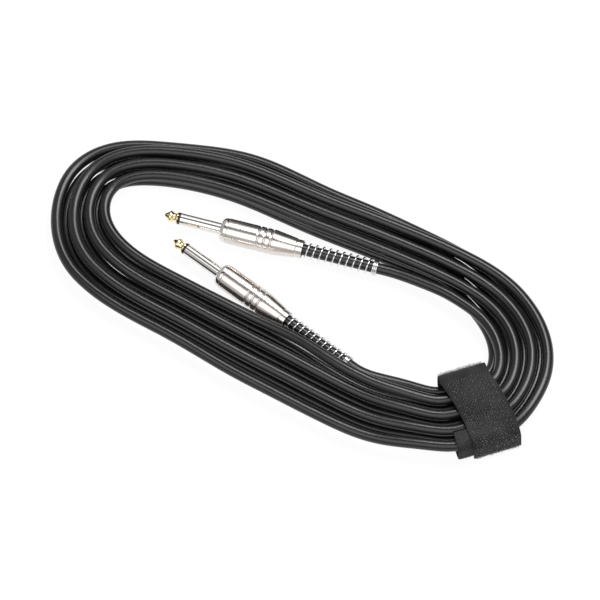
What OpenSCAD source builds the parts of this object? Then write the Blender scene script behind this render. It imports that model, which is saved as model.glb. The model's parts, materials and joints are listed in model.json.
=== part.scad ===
// Instrument cable, put away: a coiled mono audio lead held by a hook-and-loop strap, with a
// 6.35 mm jack plug on each end.
//
// Frame: millimetres, +Z up, +X along the long axis of the coil. The origin lies on the floor
// under the middle of the coil's outline. Both plugs lie flat inside the loop, tips towards -X.
// A plug is drawn in its own frame: x = 0 at the apex of its tip, +X towards the cable.

/* [Cable] */
// Outer diameter of the cable
cable_d = 6; // [5.6:0.1:6.2]
// Outer diameter of the braided shield under the jacket
shield_d = 4.4; // [4:0.1:4.8]
// Outer diameter of the insulation round the conductor
core_d = 3; // [2.6:0.1:3.4]
// Diameter of the stranded conductor
conductor_d = 0.9; // [0.7:0.05:1.1]

/* [Coil] */
// Turns in the coil, counted between the middles of its two long sides
coil_turns = 7.5; // [5.5:1:9.5]
// Angle short of the middle of a long side at which each end leaves the coil
lead_angle = 30; // [20:1:34]
// Half the length of the innermost turn
oval_a = 111; // [108:0.5:120]
// Half the width of the innermost turn
oval_b = 27.5; // [26.5:0.5:34]
// How much the ends of the oval are squared off
fullness = 0.52; // [0.4:0.02:0.7]
// How much wider the right end of the oval is than its left end
egg = 0.2; // [0.16:0.01:0.22]
// How far the right end of the oval lies further back than its middle, and the left end forward
oval_tilt = 1.5; // [1:0.1:2]
// How far the innermost turn is pushed in by the others in the middle of the front side
front_push = 1.5; // [0.5:0.1:1.6]
// Clear height between the lower and the upper layer
layer_gap = 0.5; // [0.46:0.02:0.8]
// How far each end of the coil is drawn in, towards its plug
end_tuck = 0.8; // [0.6:0.1:1.5]
// Height by which the first turn rides up over the spring of plug 2
ride_height = 6; // [5.8:0.1:7]

/* [Plug pin] */
// Diameter of the plug's pin
pin_d = 6.35; // [6.3:0.01:6.4]
// Length of the pin, from the apex of the tip to the flange
pin_len = 31; // [30.5:0.1:32]
// Length of the tip contact
tip_len = 7.4; // [7:0.1:8]
// Largest diameter of the tip contact
tip_d = 6.2; // [5.8:0.05:6.3]
// Diameter of the waist behind the tip's head
waist_d = 4.2; // [3.8:0.1:4.8]
// Length of the insulating ring behind the tip contact
ring_len = 1.4; // [1:0.1:2]
// Diameter of the rod that carries the tip contact
rod_d = 2.2; // [1.8:0.1:2.4]
// Outer diameter of the insulating tube round the rod
core_tube_d = 4.2; // [3.8:0.1:4.6]

/* [Plug body] */
// How far the flange in front of the barrel stands back from the barrel's outside
flange_drop = 0.2; // [0.1:0.05:0.4]
// Diameter of the flange's front face
flange_front_d = 8.6; // [8:0.1:10]
// Length of the flange
flange_len = 3.6; // [3:0.1:4.5]
// Wall of the barrel round the body's thread
barrel_wall = 1.1; // [0.9:0.05:1.3]
// Length of the body's thread
thread_len = 7; // [6:0.5:8]
// How far the barrel moves back when it is unscrewed
unscrew_travel = 5; // [3:0.5:6]
// Running gap between pieces that turn or slide in each other
fit_gap = 0.1; // [0.05:0.01:0.12]
// Seating gap between pieces that are fixed in each other
seat_gap = 0.05; // [0.02:0.01:0.08]

/* [Barrel] */
// Outer diameter of the barrel
barrel_d = 13.6; // [13.2:0.1:14.4]
// Length of the barrel's straight part
straight_len = 25.9; // [24:0.1:28]
// Length of the barrel's taper
taper_len = 12; // [10:0.5:14]
// Diameter at the small end of the taper
taper_d = 10.4; // [10.2:0.1:11]
// Diameter of the barrel's rear neck
neck_d = 9.7; // [9.5:0.1:10]
// Length of the barrel's rear neck
neck_len = 3.4; // [3:0.1:5]
// Distance from the front of the barrel to the first grip groove
groove_start = 16.6; // [15:0.1:18]
// Number of grip grooves
groove_count = 3; // [2:1:4]
// Distance from one grip groove to the next
groove_pitch = 3.5; // [3:0.1:3.8]
// Width of a grip groove
groove_w = 1; // [0.6:0.1:1.4]
// Depth of a grip groove
groove_depth = 0.45; // [0.2:0.05:0.5]
// Wall of the barrel's thread bore and chamber
liner_wall = 0.4; // [0.3:0.05:0.6]

/* [Bend relief spring] */
// Outer diameter of the spring
spring_d = 8.7; // [8.6:0.02:8.8]
// Diameter of the spring's wire
wire_d = 0.9; // [0.7:0.05:1]
// Length of the spring that shows behind the barrel
spring_len = 38.2; // [32:0.1:40]
// Number of turns of the spring
spring_turns = 12; // [10:1:13]
// Length of the band that closes the spring's rear end
collar_len = 3.5; // [2.5:0.5:4.5]
// Outer diameter of that band
collar_d = 8.4; // [8:0.1:8.8]

/* [Strap] */
// Width of the strap
strap_w = 25; // [20:1:26]
// Thickness of the strap
strap_t = 1.3; // [1:0.1:1.6]
// Clear space between the strap, the cable and its own tail
strap_gap = 0.3; // [0.3:0.05:0.5]
// Place of the strap round the oval, as an angle from +X
strap_angle = -21; // [-22:0.5:-20]
// How far the end of the strap's tail leans off to the right of its root
tail_lean = 5.5; // [0:0.5:7]
// How far the strap's inner layer leans off to the left of the root of the tail
lap_lean = 2.5; // [0:0.5:4]
// Length of the inner layer that lies on top of the coil, under the tail
strap_lap = 6; // [3:0.5:10]

/* [Placement] */
// Tip of plug 1, along X
plug_1_x = -85.2; // [-87:0.2:-84]
// Tip of plug 1, along Y
plug_1_y = 2.6; // [1:0.2:3]
// Heading of plug 1, from its tip to its cable
plug_1_yaw = 11.6; // [11:0.2:11.8]
// Tip of plug 2, along X
plug_2_x = -74.2; // [-76:0.2:-73]
// Tip of plug 2, along Y
plug_2_y = -8.4; // [-8.6:0.2:-7.8]
// Heading of plug 2, from its tip to its cable
plug_2_yaw = -10.8; // [-10.8:0.2:-9.8]

/* [Hidden] */
$fn = 64;

// Rings of a turn of the coil and of the spring, and sides of each tube
turn_rings = 24;
coil_sides = 6;
lead_sides = 8;
curl_rings = 8;
wire_sides = 6;

// The thread and the flange follow the barrel
thread_d = barrel_d - 2 * barrel_wall;
flange_d = barrel_d - 2 * flange_drop;

// Places along a plug, from the apex of its tip
sleeve_x = tip_len + ring_len;
barrel_x = pin_len + flange_len;
thread_end_x = barrel_x + thread_len;
taper_x = barrel_x + straight_len;
neck_x = taper_x + taper_len;
barrel_end_x = neck_x + neck_len;
band_x = barrel_end_x + spring_len;
plug_end_x = band_x + collar_len;
straight_spare = 3;
cable_exit_x = plug_end_x + unscrew_travel + straight_spare;
jacket_x = taper_x - 0.5;
spring_seat_x = neck_x - 3.5;
groove_x = barrel_x + groove_start;

// Sizes inside a plug
lug_t = 0.6;
washer_t = 1;
rod_head_d = 3.4;
rod_head_len = 1;
ground_arm_w = 5;
clamp_slot_w = 2.4;
clamp_len = 5;
tip_lug_d = 5.4;
tip_arm_w = 3;
tip_arm_len = 6.5;
bare_len = 8;
shield_bare_len = 3;
strip_len = 15;
pigtail_d = 0.9;
pigtail_len = 5;
solder_d = 2;
chamber_r = thread_d / 2 - 0.1;
rear_chamber_r = taper_d / 2 - 0.2;
ground_lug_x = thread_end_x;
washer_x = ground_lug_x + lug_t;
tip_lug_x = washer_x + washer_t;
rod_head_x = tip_lug_x + lug_t;
clamp_r = cable_d / 2 + seat_gap;
washer_d = 2 * (clamp_r - fit_gap);
spring_r = (spring_d - wire_d) / 2;

// The coil's height above the floor, and the strap under it
floor_cut = cable_d / 10;
lower_z = cable_d / 2 - floor_cut;
layer_rise = cable_d + layer_gap;
strap_lift = strap_t + strap_gap + floor_cut;
ring_crowding = 0.28;
straight_fade = 25;
strap_side_reach = 25;
ride_edge = 34;
lead_ease = 0.12;

// At each twelfth of the way round, from the right end over the back: the distance from one turn
// to the next, how far the whole coil bulges outwards, and how far the lower layer lies further out
turn_pitches = [8.8, 8, 7.7, 7.5, 8, 7, 7.4, 9.6, 9.8, 10.8, 10.4, 9.3];
turn_bulges = [0.4, -0.5, -0.5, 0, 1.6, 1, 1.5, 0.7, 0, 0, 1.6, 0.8];
lower_shifts = [-4.5, -1, 1.5, 2.5, 2.5, -1, 3, 2.5, 0, -2, -1.5, -3.5];
spiral_turns = coil_turns - 2 * lead_angle / 360;
coil_rings = round(spiral_turns * turn_rings);
straight_half = 14;
bend_r = 26;
ride_angle = -66;
ride_until = 0.8;
lift_flat = 32;
lift_edge = 60;

function smooth_step(share) = let (k = max(0, min(1, share))) k * k * (3 - 2 * k);
function swell(angle, flat, edge) = smooth_step((edge - abs(angle)) / (edge - flat));
function wrapped(angle) = angle - 360 * floor((angle + 180) / 360);
function unit(v) = v / norm(v);
function mix(a, b, share) = a + (b - a) * share;
function around(sizes, t) = let (n = len(sizes), u = t * n / 360, i = floor(u), first = (i % n + n) % n)
    mix(sizes[first], sizes[(first + 1) % n], smooth_step(u - i));

// A point of the innermost turn, and the direction there that points out of the oval
function oval(t) = [
    oval_a * cos(t),
    oval_b * (1 + egg * cos(t)) * sin(t) * (1 + fullness * pow(cos(t), 2))
        + oval_tilt * cos(t) + front_push * pow(max(0, -sin(t)), 6)
];
function oval_out(t) = let (d = unit(oval(t + 0.01) - oval(t - 0.01))) [d[1], -d[0]];

// Where the strap crosses the innermost turn: the way out of the oval there, and along it
strap_foot = oval(strap_angle);
strap_out = oval_out(strap_angle);
strap_along = [-strap_out[1], strap_out[0]];

// The cable's centre after a number of turns. It winds out in the upper layer, comes down a layer
// in the half turn at the left end where the spiral reverses, and winds in again below.
// How far the strap holds a turn out where it would bend away from the strap's flat inner side
function drawn_straight(along, out) = out < -strap_side_reach ? 0
    : pow(min(abs(along), straight_half), 2) / (2 * (bend_r + max(out, 0)))
        * swell(along, straight_half, straight_half + straight_fade);
function crowded(u) = u - ring_crowding * sin(2 * u) * 180 / PI;
function coil_angle(turn) = crowded(90 - lead_angle - 360 * turn);
function coil_point(turn) =
    let (
        middle = spiral_turns / 2,
        t = coil_angle(turn),
        down = smooth_step((turn - middle) / 0.5 + 0.5),
        out = (middle - abs(turn - middle)) * around(turn_pitches, t) + around(turn_bulges, t)
            + down * around(lower_shifts, t) - end_tuck * (swell(turn, 0, 0.2) + swell(spiral_turns - turn, 0, 0.2)),
        free = oval(t) + out * oval_out(t),
        p = free + strap_out * drawn_straight((free - strap_foot) * strap_along,
                                              (free - strap_foot) * strap_out),
        across = [(p - strap_foot) * strap_along, min(0, (p - strap_foot) * strap_out)],
        over_strap = strap_lift * swell(norm(across), lift_flat, lift_edge),
        over_spring = turn < ride_until ? ride_height * swell(wrapped(t - ride_angle), 0, ride_edge) : 0
    )
    [p[0], p[1], lower_z + (1 - down) * layer_rise + over_strap + over_spring];
turn_points = [for (i = [0 : coil_rings]) coil_point(spiral_turns * i / coil_rings)];
function level(v) = unit([v[0], v[1], 0]);
coil_in = turn_points[0] - cable_d * level(turn_points[1] - turn_points[0]);
coil_out = turn_points[coil_rings]
    + cable_d * level(turn_points[coil_rings] - turn_points[coil_rings - 1]);
coil_path = concat([coil_in], turn_points, [coil_out]);

// Rings of points along a path. One side of each ring points as the path's up vector does.
function step_dir(path, i) = unit(path[i + 1] - path[i]);
function path_dir(path, i) = unit(step_dir(path, max(i - 1, 0))
                                  + step_dir(path, min(i, len(path) - 2)));
function tube_ring(centre, dir, up, r, sides) =
    let (side = unit(cross(dir, up)), top = cross(side, dir))
    [for (k = [0 : sides - 1]) centre + r * (cos(90 + 360 * k / sides) * side
                                             + sin(90 + 360 * k / sides) * top)];
function tube_points(path, ups, r, sides) =
    [for (i = [0 : len(path) - 1]) each tube_ring(path[i], path_dir(path, i), ups[i], r, sides)];
function tube_faces(rings, sides) = concat(
    [for (k = [1 : sides - 2]) [0, k, k + 1]],
    [for (k = [1 : sides - 2]) let (e = (rings - 1) * sides) [e, e + k + 1, e + k]],
    [for (i = [0 : rings - 2], k = [0 : sides - 1])
        let (a = i * sides + k, b = i * sides + (k + 1) % sides) [a, a + sides, b]],
    [for (i = [0 : rings - 2], k = [0 : sides - 1])
        let (a = i * sides + k, b = i * sides + (k + 1) % sides) [b, a + sides, b + sides]]
);
module tube(path, ups, r, sides) {
    polyhedron(tube_points(path, ups, r, sides), tube_faces(len(path), sides), convexity = 20);
}
function upright(path) = [for (p = path) [0, 0, 1]];

// The middle of the coil's outline, which is moved over the origin
coil_skin = tube_points(coil_path, upright(coil_path), cable_d / 2, coil_sides);
skin_x = [for (p = coil_skin) p[0]];
skin_y = [for (p = coil_skin) p[1]];
middle = [(min(skin_x) + max(skin_x)) / 2, (min(skin_y) + max(skin_y)) / 2, 0];

// Heights: a plug lies on its barrel
plug_z = barrel_d / 2;
function plug_point(spot, x) = [spot[0] + x * cos(spot[2]), spot[1] + x * sin(spot[2]), plug_z];
plug_1_spot = [plug_1_x, plug_1_y, plug_1_yaw];
plug_2_spot = [plug_2_x, plug_2_y, plug_2_yaw];

// The bundle under the strap, measured outwards from the oval and along it
strap_heading = atan2(strap_out[1], strap_out[0]);
strap_reach = strap_w / 2 + max(tail_lean, lap_lean);
bundle = [for (i = [0 : len(coil_path) - 2], k = [0 : 11])
    let (
        p = mix(coil_path[i], coil_path[i + 1], k / 12),
        from_foot = [p[0], p[1]] - strap_foot
    )
    if (abs(from_foot * strap_along) < strap_reach && from_foot * strap_out > -20
        && from_foot * strap_out < max(turn_pitches) * (coil_turns + 1))
        [from_foot * strap_out, p[2], from_foot * strap_along]];
bundle_in = min([for (b = bundle) if (abs(b[2]) < strap_w / 2 + 1.2) b[0]]) - cable_d / 2;
bundle_out = max([for (b = bundle) b[0]]) + cable_d / 2;
bundle_top = max([for (b = bundle) b[1]]) + cable_d / 2;

// The inside of the strap: its two sides, its floor and its ceiling
side_in = bundle_in - strap_gap;
side_out = bundle_out + strap_gap;
ceiling = bundle_top + strap_gap;
corner_r = cable_d / 2;
tail_step = strap_t + strap_gap;
tail_foot_z = 2.2;
hinge_land = 2;
hinge_s = side_in + corner_r + hinge_land;
lap_s = side_out - corner_r - strap_lap;

// How close the coil and a spring come to themselves, measured on the points of their paths
function self_gap(path, d, skip) = min([for (i = [0 : len(path) - 1 - skip])
    min([for (j = [i + skip : len(path) - 1]) norm(path[i] - path[j])])]) - d;
function fine_path(path, parts) = [for (i = [0 : len(path) - 2], k = [0 : parts - 1])
    mix(path[i], path[i + 1], k / parts)];
function path_length(path) =
    [for (i = [1 : len(path) - 1]) norm(path[i] - path[i - 1])] * [for (i = [2 : len(path)]) 1];

spring_rings = curl_rings * spring_turns;
spring_from = spring_seat_x + wire_d;
spring_to = band_x - wire_d;
spring_angles = concat([0], [for (i = [0 : spring_rings]) i * 360 / curl_rings], [0]);
spring_stations = concat([spring_seat_x],
    [for (i = [0 : spring_rings]) mix(spring_from, spring_to, i / spring_rings)], [band_x]);
spring_ups = [for (a = spring_angles) [0, cos(a), sin(a)]];
spring_path = [for (i = [0 : spring_rings + 2]) [spring_stations[i], 0, 0] + spring_r * spring_ups[i]];

// Routes of the two free stretches, each a smooth line between a plug's cable and the coil
function plug_dir(spot) = [cos(spot[2]), sin(spot[2]), 0];
function eased(a, a_dir, b, b_dir) = let (
        reach = lead_ease * norm(b - a), c = a + reach * a_dir, d = b - reach * b_dir
    )
    [for (k = [0 : 3]) let (s = k / 3)
        pow(1 - s, 3) * a + 3 * s * pow(1 - s, 2) * c + 3 * s * s * (1 - s) * d + pow(s, 3) * b];
lead_1_path = eased(plug_point(plug_1_spot, cable_exit_x), plug_dir(plug_1_spot),
                    coil_in, step_dir(coil_path, 0));
lead_2_path = eased(coil_out, step_dir(coil_path, len(coil_path) - 2),
                    plug_point(plug_2_spot, cable_exit_x), -plug_dir(plug_2_spot));

// ---- The coil, the leads and the strap

module cable_coil() {
    color([0.05, 0.05, 0.055]) difference() {
        tube(coil_path, upright(coil_path), cable_d / 2, coil_sides);
        translate([-2 * oval_a, -2 * oval_a, -cable_d]) cube([4 * oval_a, 4 * oval_a, cable_d]);
    }
}

// A free stretch, whose end rings lie square to the straight pieces that they meet
module lead(path, start_dir, end_dir) {
    last = len(path) - 1;
    r = cable_d / 2;
    rings = [for (i = [0 : last]) each tube_ring(path[i],
        i == 0 ? start_dir : i == last ? end_dir : path_dir(path, i), [0, 0, 1], r, lead_sides)];
    color([0.05, 0.05, 0.055]) polyhedron(rings, tube_faces(last + 1, lead_sides), convexity = 6);
}
module lead_1() {
    lead(lead_1_path, [cos(plug_1_yaw), sin(plug_1_yaw), 0], path_dir(coil_path, 0));
}
module lead_2() {
    lead(lead_2_path, path_dir(coil_path, len(coil_path) - 1),
         [-cos(plug_2_yaw), -sin(plug_2_yaw), 0]);
}

// A band of even thickness along a line in the strap's section
function arc_points(centre, r, from, to) =
    [for (k = [0 : 6]) let (a = mix(from, to, k / 6)) centre + r * [cos(a), sin(a)]];
function line_left(line, i) = let (
        a = unit(line[min(i + 1, len(line) - 1)] - line[max(i - 1, 0)])
    ) [-a[1], a[0]];
module band(line, thickness) {
    half = thickness / 2;
    polygon(concat(
        [for (i = [0 : len(line) - 1]) line[i] + half * line_left(line, i)],
        [for (i = [len(line) - 1 : -1 : 0]) line[i] - half * line_left(line, i)]));
}
// Extrudes a section of the strap across its width. Seen from above, its edges lean to the right
// by a distance between two places.
module across_strap(from, to, lean) {
    half = strap_w / 2;
    spare = 6 * tail_step;
    translate([strap_foot[0], strap_foot[1], 0]) rotate([0, 0, strap_heading]) intersection() {
        rotate([90, 0, 0]) linear_extrude(strap_w + 2 * abs(lean) + 2, center = true) children();
        translate([0, 0, -1]) linear_extrude(ceiling + spare) polygon([
            [side_in - spare, -half], [from, -half], [to, lean - half], [side_out + spare, lean - half],
            [side_out + spare, lean + half], [to, lean + half], [from, half], [side_in - spare, half]]);
    }
}
// It runs from its free end on top over the outer side, under the coil and up the inner side, to
// the tail
module strap_wrap() {
    mid = strap_t / 2;
    r = corner_r + mid;
    high = ceiling - corner_r;
    low = strap_t + corner_r;
    line = concat(
        [[lap_s, ceiling + mid]],
        arc_points([side_out - corner_r, high], r, 90, 0),
        arc_points([side_out - corner_r, low], r, 0, -90),
        arc_points([side_in + corner_r, low], r, -90, -180),
        arc_points([side_in + corner_r, high], r, 180, 90),
        [[hinge_s, ceiling + mid]]);
    color([0.07, 0.07, 0.075])
        across_strap((side_in + side_out) / 2, side_out, -lap_lean) band(line, strap_t);
}
module strap_tail() {
    mid = strap_t / 2;
    r = corner_r + tail_step + mid;
    line = concat(
        [[hinge_s + seat_gap, ceiling + mid], [hinge_s + 2, ceiling + mid],
         [lap_s - 4, ceiling + mid], [lap_s - 1, ceiling + tail_step + mid]],
        arc_points([side_out - corner_r, ceiling - corner_r], r, 90, 0),
        [[side_out + tail_step + mid, tail_foot_z]]);
    color([0.07, 0.07, 0.075]) across_strap(hinge_s, side_out, tail_lean)
        band(line, strap_t);
}

// ---- One plug, each piece in the plug's own frame

// A solid of revolution about the plug's axis, from points of radius and place
module turned(points) {
    rotate([0, 90, 0]) rotate_extrude() polygon(points);
}
module round_bar(from, to, r) {
    translate([from, 0, 0]) rotate([0, 90, 0]) cylinder(h = to - from, r = r);
}
module round_pipe(from, to, r, bore_r) {
    difference() {
        round_bar(from, to, r);
        round_bar(from - 1, to + 1, bore_r);
    }
}

module tip() {
    head = tip_d / 2;
    hole = rod_d / 2 + seat_gap;
    color([0.86, 0.72, 0.42]) difference() {
        turned([
            [0, 0], [0.5, 0.05], [0.95, 0.35], [head - 0.25, 2.7], [head, 3.15], [head - 0.03, 3.6],
            [head - 0.2, 4], [waist_d / 2 + 0.15, 5.2], [waist_d / 2, 5.6], [waist_d / 2, 5.9],
            [head - 0.2, tip_len - 0.65], [head - 0.03, tip_len - 0.4], [head, tip_len], [0, tip_len]
        ]);
        round_bar(3, tip_len + 1, hole);
    }
}
module rod() {
    color([0.72, 0.6, 0.35]) union() {
        round_bar(3.1, rod_head_x + rod_head_len, rod_d / 2);
        round_bar(rod_head_x, rod_head_x + rod_head_len, rod_head_d / 2);
    }
}
module tip_ring() {
    color([0.05, 0.05, 0.05]) round_pipe(tip_len, sleeve_x, pin_d / 2, rod_d / 2 + seat_gap);
}
module core_tube() {
    color([0.85, 0.84, 0.8])
        round_pipe(sleeve_x, washer_x, core_tube_d / 2, rod_d / 2 + seat_gap);
}
module sleeve() {
    bore = core_tube_d / 2 + seat_gap;
    r = pin_d / 2;
    edge = flange_d / 2;
    front = flange_front_d / 2;
    land = 0.9;
    round_len = flange_len - land;
    color([0.78, 0.76, 0.74]) turned(concat(
        [[bore, sleeve_x], [r, sleeve_x], [r, pin_len]],
        [for (k = [0 : 6]) let (a = k * 15)
            [front + (edge - front) * sin(a), pin_len + round_len * (1 - cos(a))]],
        [[edge, barrel_x], [thread_d / 2, barrel_x], [thread_d / 2, thread_end_x],
         [bore, thread_end_x]]));
}
module ground_lug() {
    lug_r = clamp_r + lug_t;
    clamp_x = jacket_x + 1;
    color([0.7, 0.68, 0.62]) difference() {
        union() {
            round_bar(ground_lug_x, washer_x, lug_r);
            translate([ground_lug_x, -ground_arm_w / 2, -lug_r])
                cube([clamp_x + clamp_len - ground_lug_x, ground_arm_w, lug_t]);
            difference() {
                round_bar(clamp_x, clamp_x + clamp_len, lug_r);
                translate([clamp_x - 1, -clamp_slot_w / 2, 0])
                    cube([clamp_len + 2, clamp_slot_w, lug_r + 1]);
            }
        }
        round_bar(ground_lug_x - 1, washer_x + 1, core_tube_d / 2 + seat_gap);
        round_bar(jacket_x - 1, clamp_x + clamp_len + 1, clamp_r);
    }
}
module washer() {
    color([0.55, 0.38, 0.22]) round_pipe(washer_x, tip_lug_x, washer_d / 2,
        rod_d / 2 + seat_gap);
}
module tip_lug() {
    color([0.75, 0.65, 0.4]) difference() {
        union() {
            round_bar(tip_lug_x, rod_head_x, tip_lug_d / 2);
            translate([tip_lug_x, -tip_arm_w / 2, tip_lug_d / 2 - lug_t])
                cube([tip_arm_len, tip_arm_w, lug_t]);
        }
        round_bar(tip_lug_x - 1, rod_head_x + 1, rod_d / 2 + seat_gap);
    }
}

// A straight piece of wire between two points in the plug's upright plane, with round ends
module wire(from, to, r) {
    run = to - from;
    translate([from[0], 0, from[1]]) sphere(r = r);
    translate([from[0], 0, from[1]]) rotate([0, 90 - atan2(run[1], run[0]), 0])
        cylinder(h = norm(run), r = r);
    translate([to[0], 0, to[1]]) sphere(r = r);
}

// The conductor leaves its insulation on the axis and bends up under the arm of the tip lug
conductor_r = conductor_d / 2;
conductor_z = tip_lug_d / 2 - lug_t - conductor_r - seat_gap;
bare_x = jacket_x - bare_len;
strip_x = jacket_x + strip_len;
tip_joint_x = rod_head_x + rod_head_len + conductor_r + 0.5;
pigtail_r = pigtail_d / 2;
pigtail_z = seat_gap - shield_d / 2;
pigtail_x = jacket_x - shield_bare_len;
module conductor() {
    color([0.72, 0.45, 0.25]) union() {
        round_bar(bare_x, strip_x, conductor_r);
        wire([tip_joint_x, conductor_z], [bare_x, 0], conductor_r);
    }
}
module core_insulation() {
    color([0.9, 0.9, 0.86])
        round_pipe(bare_x + 1, strip_x, core_d / 2, conductor_r + seat_gap);
}
// The shield's strands are drawn together below it, into a pigtail that runs forward
module shield() {
    color([0.7, 0.42, 0.24]) union() {
        round_pipe(pigtail_x, strip_x, shield_d / 2 - seat_gap, core_d / 2 + seat_gap);
        translate([0, 0, pigtail_z])
            round_bar(pigtail_x - pigtail_len, pigtail_x + 1, pigtail_r);
    }
}
module jacket_end() {
    color([0.05, 0.05, 0.055]) difference() {
        round_bar(jacket_x, cable_exit_x, cable_d / 2);
        round_bar(jacket_x - 1, strip_x, shield_d / 2);
    }
}
// A drop of solder under the arm of the tip lug, and one on the arm of the ground lug
module solder() {
    r = solder_d / 2;
    drop = r + seat_gap;
    ground_x = pigtail_x - pigtail_len;
    arm_top = -clamp_r + seat_gap;
    arm_under = tip_lug_d / 2 - lug_t - seat_gap;
    color([0.75, 0.75, 0.77]) {
        difference() {
            translate([tip_joint_x + 0.8, 0, conductor_z]) sphere(r = r);
            translate([tip_joint_x - drop, -drop, arm_under]) cube(2 * drop + 1);
            wire([tip_joint_x, conductor_z], [bare_x, 0], conductor_r + seat_gap);
            round_bar(tip_joint_x - drop, rod_head_x + rod_head_len + seat_gap, rod_head_d / 2);
        }
        difference() {
            translate([ground_x, 0, arm_top + r / 2]) sphere(r = r);
            translate([ground_x - drop, -drop, arm_top - 2 * drop]) cube(2 * drop);
            translate([0, 0, pigtail_z])
                round_bar(ground_x - seat_gap, ground_x + pigtail_len, pigtail_r + seat_gap);
        }
    }
}

module barrel() {
    r = barrel_d / 2;
    edge = 0.3;
    bore = thread_d / 2 + fit_gap;
    neck_bore = spring_d / 2 + fit_gap;
    shoulder = spring_seat_x + seat_gap;
    front = barrel_x + seat_gap;
    color([0.8, 0.78, 0.77]) turned(concat(
        [[bore, front], [r - edge, front], [r, front + edge]],
        [for (i = [0 : groove_count - 1]) let (x = groove_x + i * groove_pitch)
            each [[r, x], [r - groove_depth, x + groove_w / 3],
                  [r - groove_depth, x + groove_w * 2 / 3], [r, x + groove_w]]],
        [[r, taper_x], [taper_d / 2, neck_x - edge], [neck_d / 2, neck_x],
         [neck_d / 2, barrel_end_x - edge / 2], [neck_d / 2 - edge / 2, barrel_end_x],
         [neck_bore, barrel_end_x], [neck_bore, shoulder], [rear_chamber_r, shoulder],
         [rear_chamber_r, taper_x + 1.5], [chamber_r, taper_x + 1.5], [chamber_r, thread_end_x + 1],
         [bore, thread_end_x + 1]]));
}
module liner() {
    color([0.15, 0.15, 0.15]) round_pipe(thread_end_x + 1.4, taper_x - 0.5,
        chamber_r - fit_gap, chamber_r - fit_gap - liner_wall);
}
module spring() {
    color([0.8, 0.8, 0.8]) tube(spring_path, spring_ups, wire_d / 2, wire_sides);
}
module spring_seat() {
    color([0.7, 0.7, 0.7]) round_pipe(spring_seat_x - 1.2, spring_seat_x,
        rear_chamber_r - fit_gap, cable_d / 2 + 2 * fit_gap);
}
module spring_band() {
    color([0.85, 0.84, 0.83]) round_pipe(band_x, plug_end_x, collar_d / 2,
        cable_d / 2 + 2 * fit_gap);
}

module at_plug(spot) {
    translate(plug_point(spot, 0) - middle) rotate([0, 0, spot[2]]) children();
}

// ---- The nodes

union() {  // cable_coil
    echo("cable_coil least gap", self_gap(fine_path(coil_path, 3), cable_d, 3 * (turn_rings - 4)),
         "length", path_length(coil_path), "turns", spiral_turns);
}
union() {  // plug_1_spring
    echo("spring least gap", self_gap(fine_path(spring_path, 3), wire_d, 3 * (curl_rings - 2)),
         "turns", spring_turns);
}
translate(-middle) cable_coil();
translate(-middle) lead_1();
translate(-middle) lead_2();
translate(-middle) strap_wrap();
translate(-middle) strap_tail();
at_plug(plug_1_spot) tip();  // plug_1_tip
at_plug(plug_1_spot) rod();  // plug_1_rod
at_plug(plug_1_spot) tip_ring();  // plug_1_tip_ring
at_plug(plug_1_spot) core_tube();  // plug_1_core_tube
at_plug(plug_1_spot) sleeve();  // plug_1_sleeve
at_plug(plug_1_spot) ground_lug();  // plug_1_ground_lug
at_plug(plug_1_spot) washer();  // plug_1_washer
at_plug(plug_1_spot) tip_lug();  // plug_1_tip_lug
at_plug(plug_1_spot) conductor();  // plug_1_conductor
at_plug(plug_1_spot) core_insulation();  // plug_1_core_insulation
at_plug(plug_1_spot) shield();  // plug_1_shield
at_plug(plug_1_spot) jacket_end();  // plug_1_jacket_end
at_plug(plug_1_spot) solder();  // plug_1_solder
at_plug(plug_1_spot) barrel();  // plug_1_barrel
at_plug(plug_1_spot) liner();  // plug_1_liner
at_plug(plug_1_spot) spring();  // plug_1_spring
at_plug(plug_1_spot) spring_seat();  // plug_1_spring_seat
at_plug(plug_1_spot) spring_band();  // plug_1_spring_band
at_plug(plug_2_spot) tip();  // plug_2_tip
at_plug(plug_2_spot) rod();  // plug_2_rod
at_plug(plug_2_spot) tip_ring();  // plug_2_tip_ring
at_plug(plug_2_spot) core_tube();  // plug_2_core_tube
at_plug(plug_2_spot) sleeve();  // plug_2_sleeve
at_plug(plug_2_spot) ground_lug();  // plug_2_ground_lug
at_plug(plug_2_spot) washer();  // plug_2_washer
at_plug(plug_2_spot) tip_lug();  // plug_2_tip_lug
at_plug(plug_2_spot) conductor();  // plug_2_conductor
at_plug(plug_2_spot) core_insulation();  // plug_2_core_insulation
at_plug(plug_2_spot) shield();  // plug_2_shield
at_plug(plug_2_spot) jacket_end();  // plug_2_jacket_end
at_plug(plug_2_spot) solder();  // plug_2_solder
at_plug(plug_2_spot) barrel();  // plug_2_barrel
at_plug(plug_2_spot) liner();  // plug_2_liner
at_plug(plug_2_spot) spring();  // plug_2_spring
at_plug(plug_2_spot) spring_seat();  // plug_2_spring_seat
at_plug(plug_2_spot) spring_band();  // plug_2_spring_band
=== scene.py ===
"""Dresses a coiled instrument cable: its jacket, two jack plugs with relief springs, and its strap."""

import json
import logging
import math
import random
from dataclasses import dataclass
from enum import Enum
from typing import Callable, Optional, Sequence, Union

import bpy
import bmesh
from mathutils import Matrix, Vector, noise

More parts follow.
